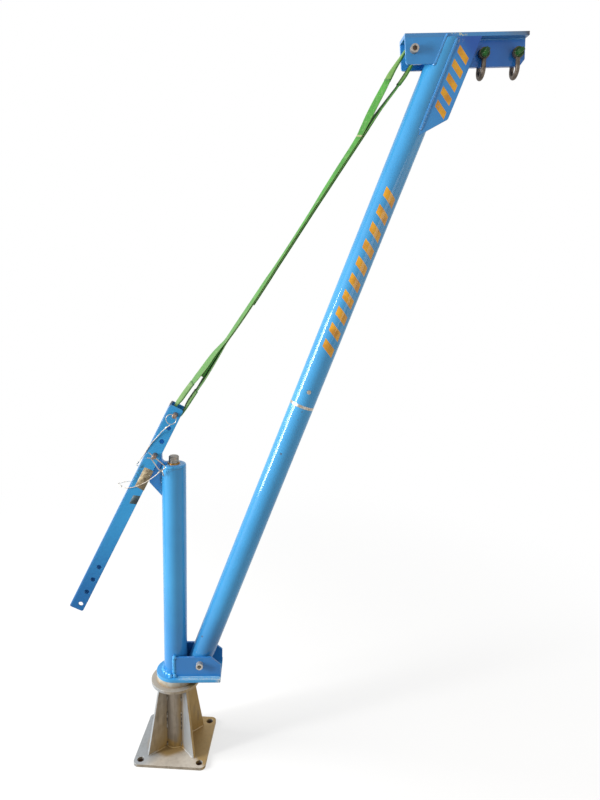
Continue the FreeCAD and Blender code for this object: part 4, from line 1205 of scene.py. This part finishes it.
strap_green = green_web("strap_green", (66, 138, 50), (54, 118, 42), 0.0026)
sling = piece("tie_sling_webbing", webbing(), strap_green, "sling")
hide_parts("tie_sling")
sleeve_green = green_web("sleeve_green", (108, 146, 76), (88, 130, 60), 0.0034)
sleeve = piece("tie_sling_sleeves", sleeves(), sleeve_green, "sling")
hem_green = green_web("hem_green", (66, 124, 58), (51, 104, 46), 0.0020)
hem = piece("tie_sling_hems", hems(), hem_green, "sling")
# raising the boom leaves the sling slack; here each soft piece of the sling only gets a mesh of its own
for soft in (sling, sleeve, hem):
    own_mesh(soft)


# Floor, light and camera. A pale floor and sky that stay white to the eye, while the floor keeps the
# soft shadow. A broad light and a narrow window stand on the left, with weak fills in front, over
# the head and, warmer, on the right.
PLATE_TURN = math.radians(-5.3)
PLATE_X = Vector((math.cos(PLATE_TURN), math.sin(PLATE_TURN), 0))
PLATE_Y = Vector((-math.sin(PLATE_TURN), math.cos(PLATE_TURN), 0))
PLATE_HALF = 0.095
PLATE_EDGE = 0.006
WHITE = (255, 255, 255)
FLOOR_HALF = 12


def seen_rays(f):
    """1 for the rays that the eye follows: from the camera, mirrored, or through something clear."""
    kinds = ("Is Camera Ray", "Is Glossy Ray", "Is Transmission Ray")
    straight, mirrored, through = [f.add("ShaderNodeLightPath", out=kind) for kind in kinds]
    return straight + mirrored + through


def lay_white(f, share, white):
    """Shows a white shader over the first one, by a share."""
    first = Sock(f, f.shader.outputs[0])
    f.feed(f.surface, f.add("ShaderNodeMixShader", None, {0: share, 1: first, 2: white}))


def pale_floor(name):
    f = Finish(name)
    seen = seen_rays(f)
    wide = f.calc("MAXIMUM", abs(f.along(PLATE_X)), abs(f.along(PLATE_Y)))
    # painted shadow: the floor is dark under the plate, up to just inside its edge
    open_floor = wide > PLATE_HALF - PLATE_EDGE
    shade = f.mix(seen, (112, 106, 97), (240, 239, 237))
    shade = f.mix(open_floor, (66, 46, 34), shade)
    away = f.vector("LENGTH", f.place)
    share = open_floor * (f.smooth(away, 0.3, 2.2) * 0.4 + 0.6)
    lay_white(f, seen * share, f.add("ShaderNodeEmission", None, {"Color": WHITE, "Strength": 1.0}))
    return f.skin(Base_Color=shade, Roughness=0.9, Specular_IOR_Level=0.1)


mesh = bmesh.new()
bmesh.ops.create_grid(mesh, x_segments=8, y_segments=8, size=FLOOR_HALF)
floor_mesh = bpy.data.meshes.new("floor")
mesh.to_mesh(floor_mesh)
mesh.free()
floor = put("floor", floor_mesh)
floor_mesh.materials.append(pale_floor("pale_floor"))


def soft_light(name, place, aim, size, power, colour):
    lamp = bpy.data.lights.new(name, "AREA")
    lamp.shape = "RECTANGLE"
    lamp.size, lamp.size_y = size
    lamp.energy = power
    lamp.color = colour
    thing = put(name, lamp)
    thing.location = place
    thing.rotation_euler = (Vector(aim) - Vector(place)).to_track_quat("-Z", "Y").to_euler()


soft_light("broad_light", (-3.3, -0.35, 1.5), (0.2, 0, 0.95), (2.0, 1.6), 164, (1.0, 0.985, 0.96))
soft_light("window_light", (-2.4, -0.95, 1.45), (0.3, 0, 1.0), (0.3, 1.5), 52, (1.0, 1.0, 1.0))
soft_light("front_fill", (1.9, -2.2, 1.0), (0.3, 0, 1.0), (1.4, 1.0), 11, (0.95, 0.99, 1.0))
soft_light("top_fill", (0.65, 0.1, 3.3), (0.6, 0, 1.8), (1.2, 1.0), 7, (1.0, 1.0, 1.0))
soft_light("warm_fill", (2.6, -0.6, 0.8), (0.1, 0, 0.6), (1.6, 1.4), 8, (1.0, 0.8, 0.55))


def pale_sky(name):
    f = Finish(name, bpy.data.worlds, "Background", "World Output")
    lay_white(f, seen_rays(f), f.add("ShaderNodeBackground", None, {"Color": WHITE}))
    return f.skin(Color=(200, 202, 205), Strength=0.95)


bpy.context.scene.world = pale_sky("pale_sky")

CAMERA_AT = Vector((0.21626, -1.51725, 1.30639))
CAMERA_YAW = 0.0608664
CAMERA_PITCH = -0.2159684
CAMERA_ROLL = 0.0337982
LONG_SIDE = 800
FOCAL_PIXELS = 632.81

ahead = Vector((math.sin(CAMERA_YAW), math.cos(CAMERA_YAW), 0))
right = Vector((math.cos(CAMERA_YAW), -math.sin(CAMERA_YAW), 0))
looking = ahead * math.cos(CAMERA_PITCH) + UP * math.sin(CAMERA_PITCH)
upright = UP * math.cos(CAMERA_PITCH) - ahead * math.sin(CAMERA_PITCH)
rolled_right = right * math.cos(CAMERA_ROLL) + upright * math.sin(CAMERA_ROLL)
rolled_up = upright * math.cos(CAMERA_ROLL) - right * math.sin(CAMERA_ROLL)
lens = bpy.data.cameras.new("camera")
lens.sensor_width = 36.0
lens.lens = FOCAL_PIXELS * lens.sensor_width / LONG_SIDE
camera = put("camera", lens)
turned = Matrix((rolled_right, rolled_up, -looking)).transposed().to_4x4()
camera.matrix_world = Matrix.Translation(CAMERA_AT) @ turned
bpy.context.scene.camera = camera
bpy.context.scene.view_settings.view_transform = "Standard"
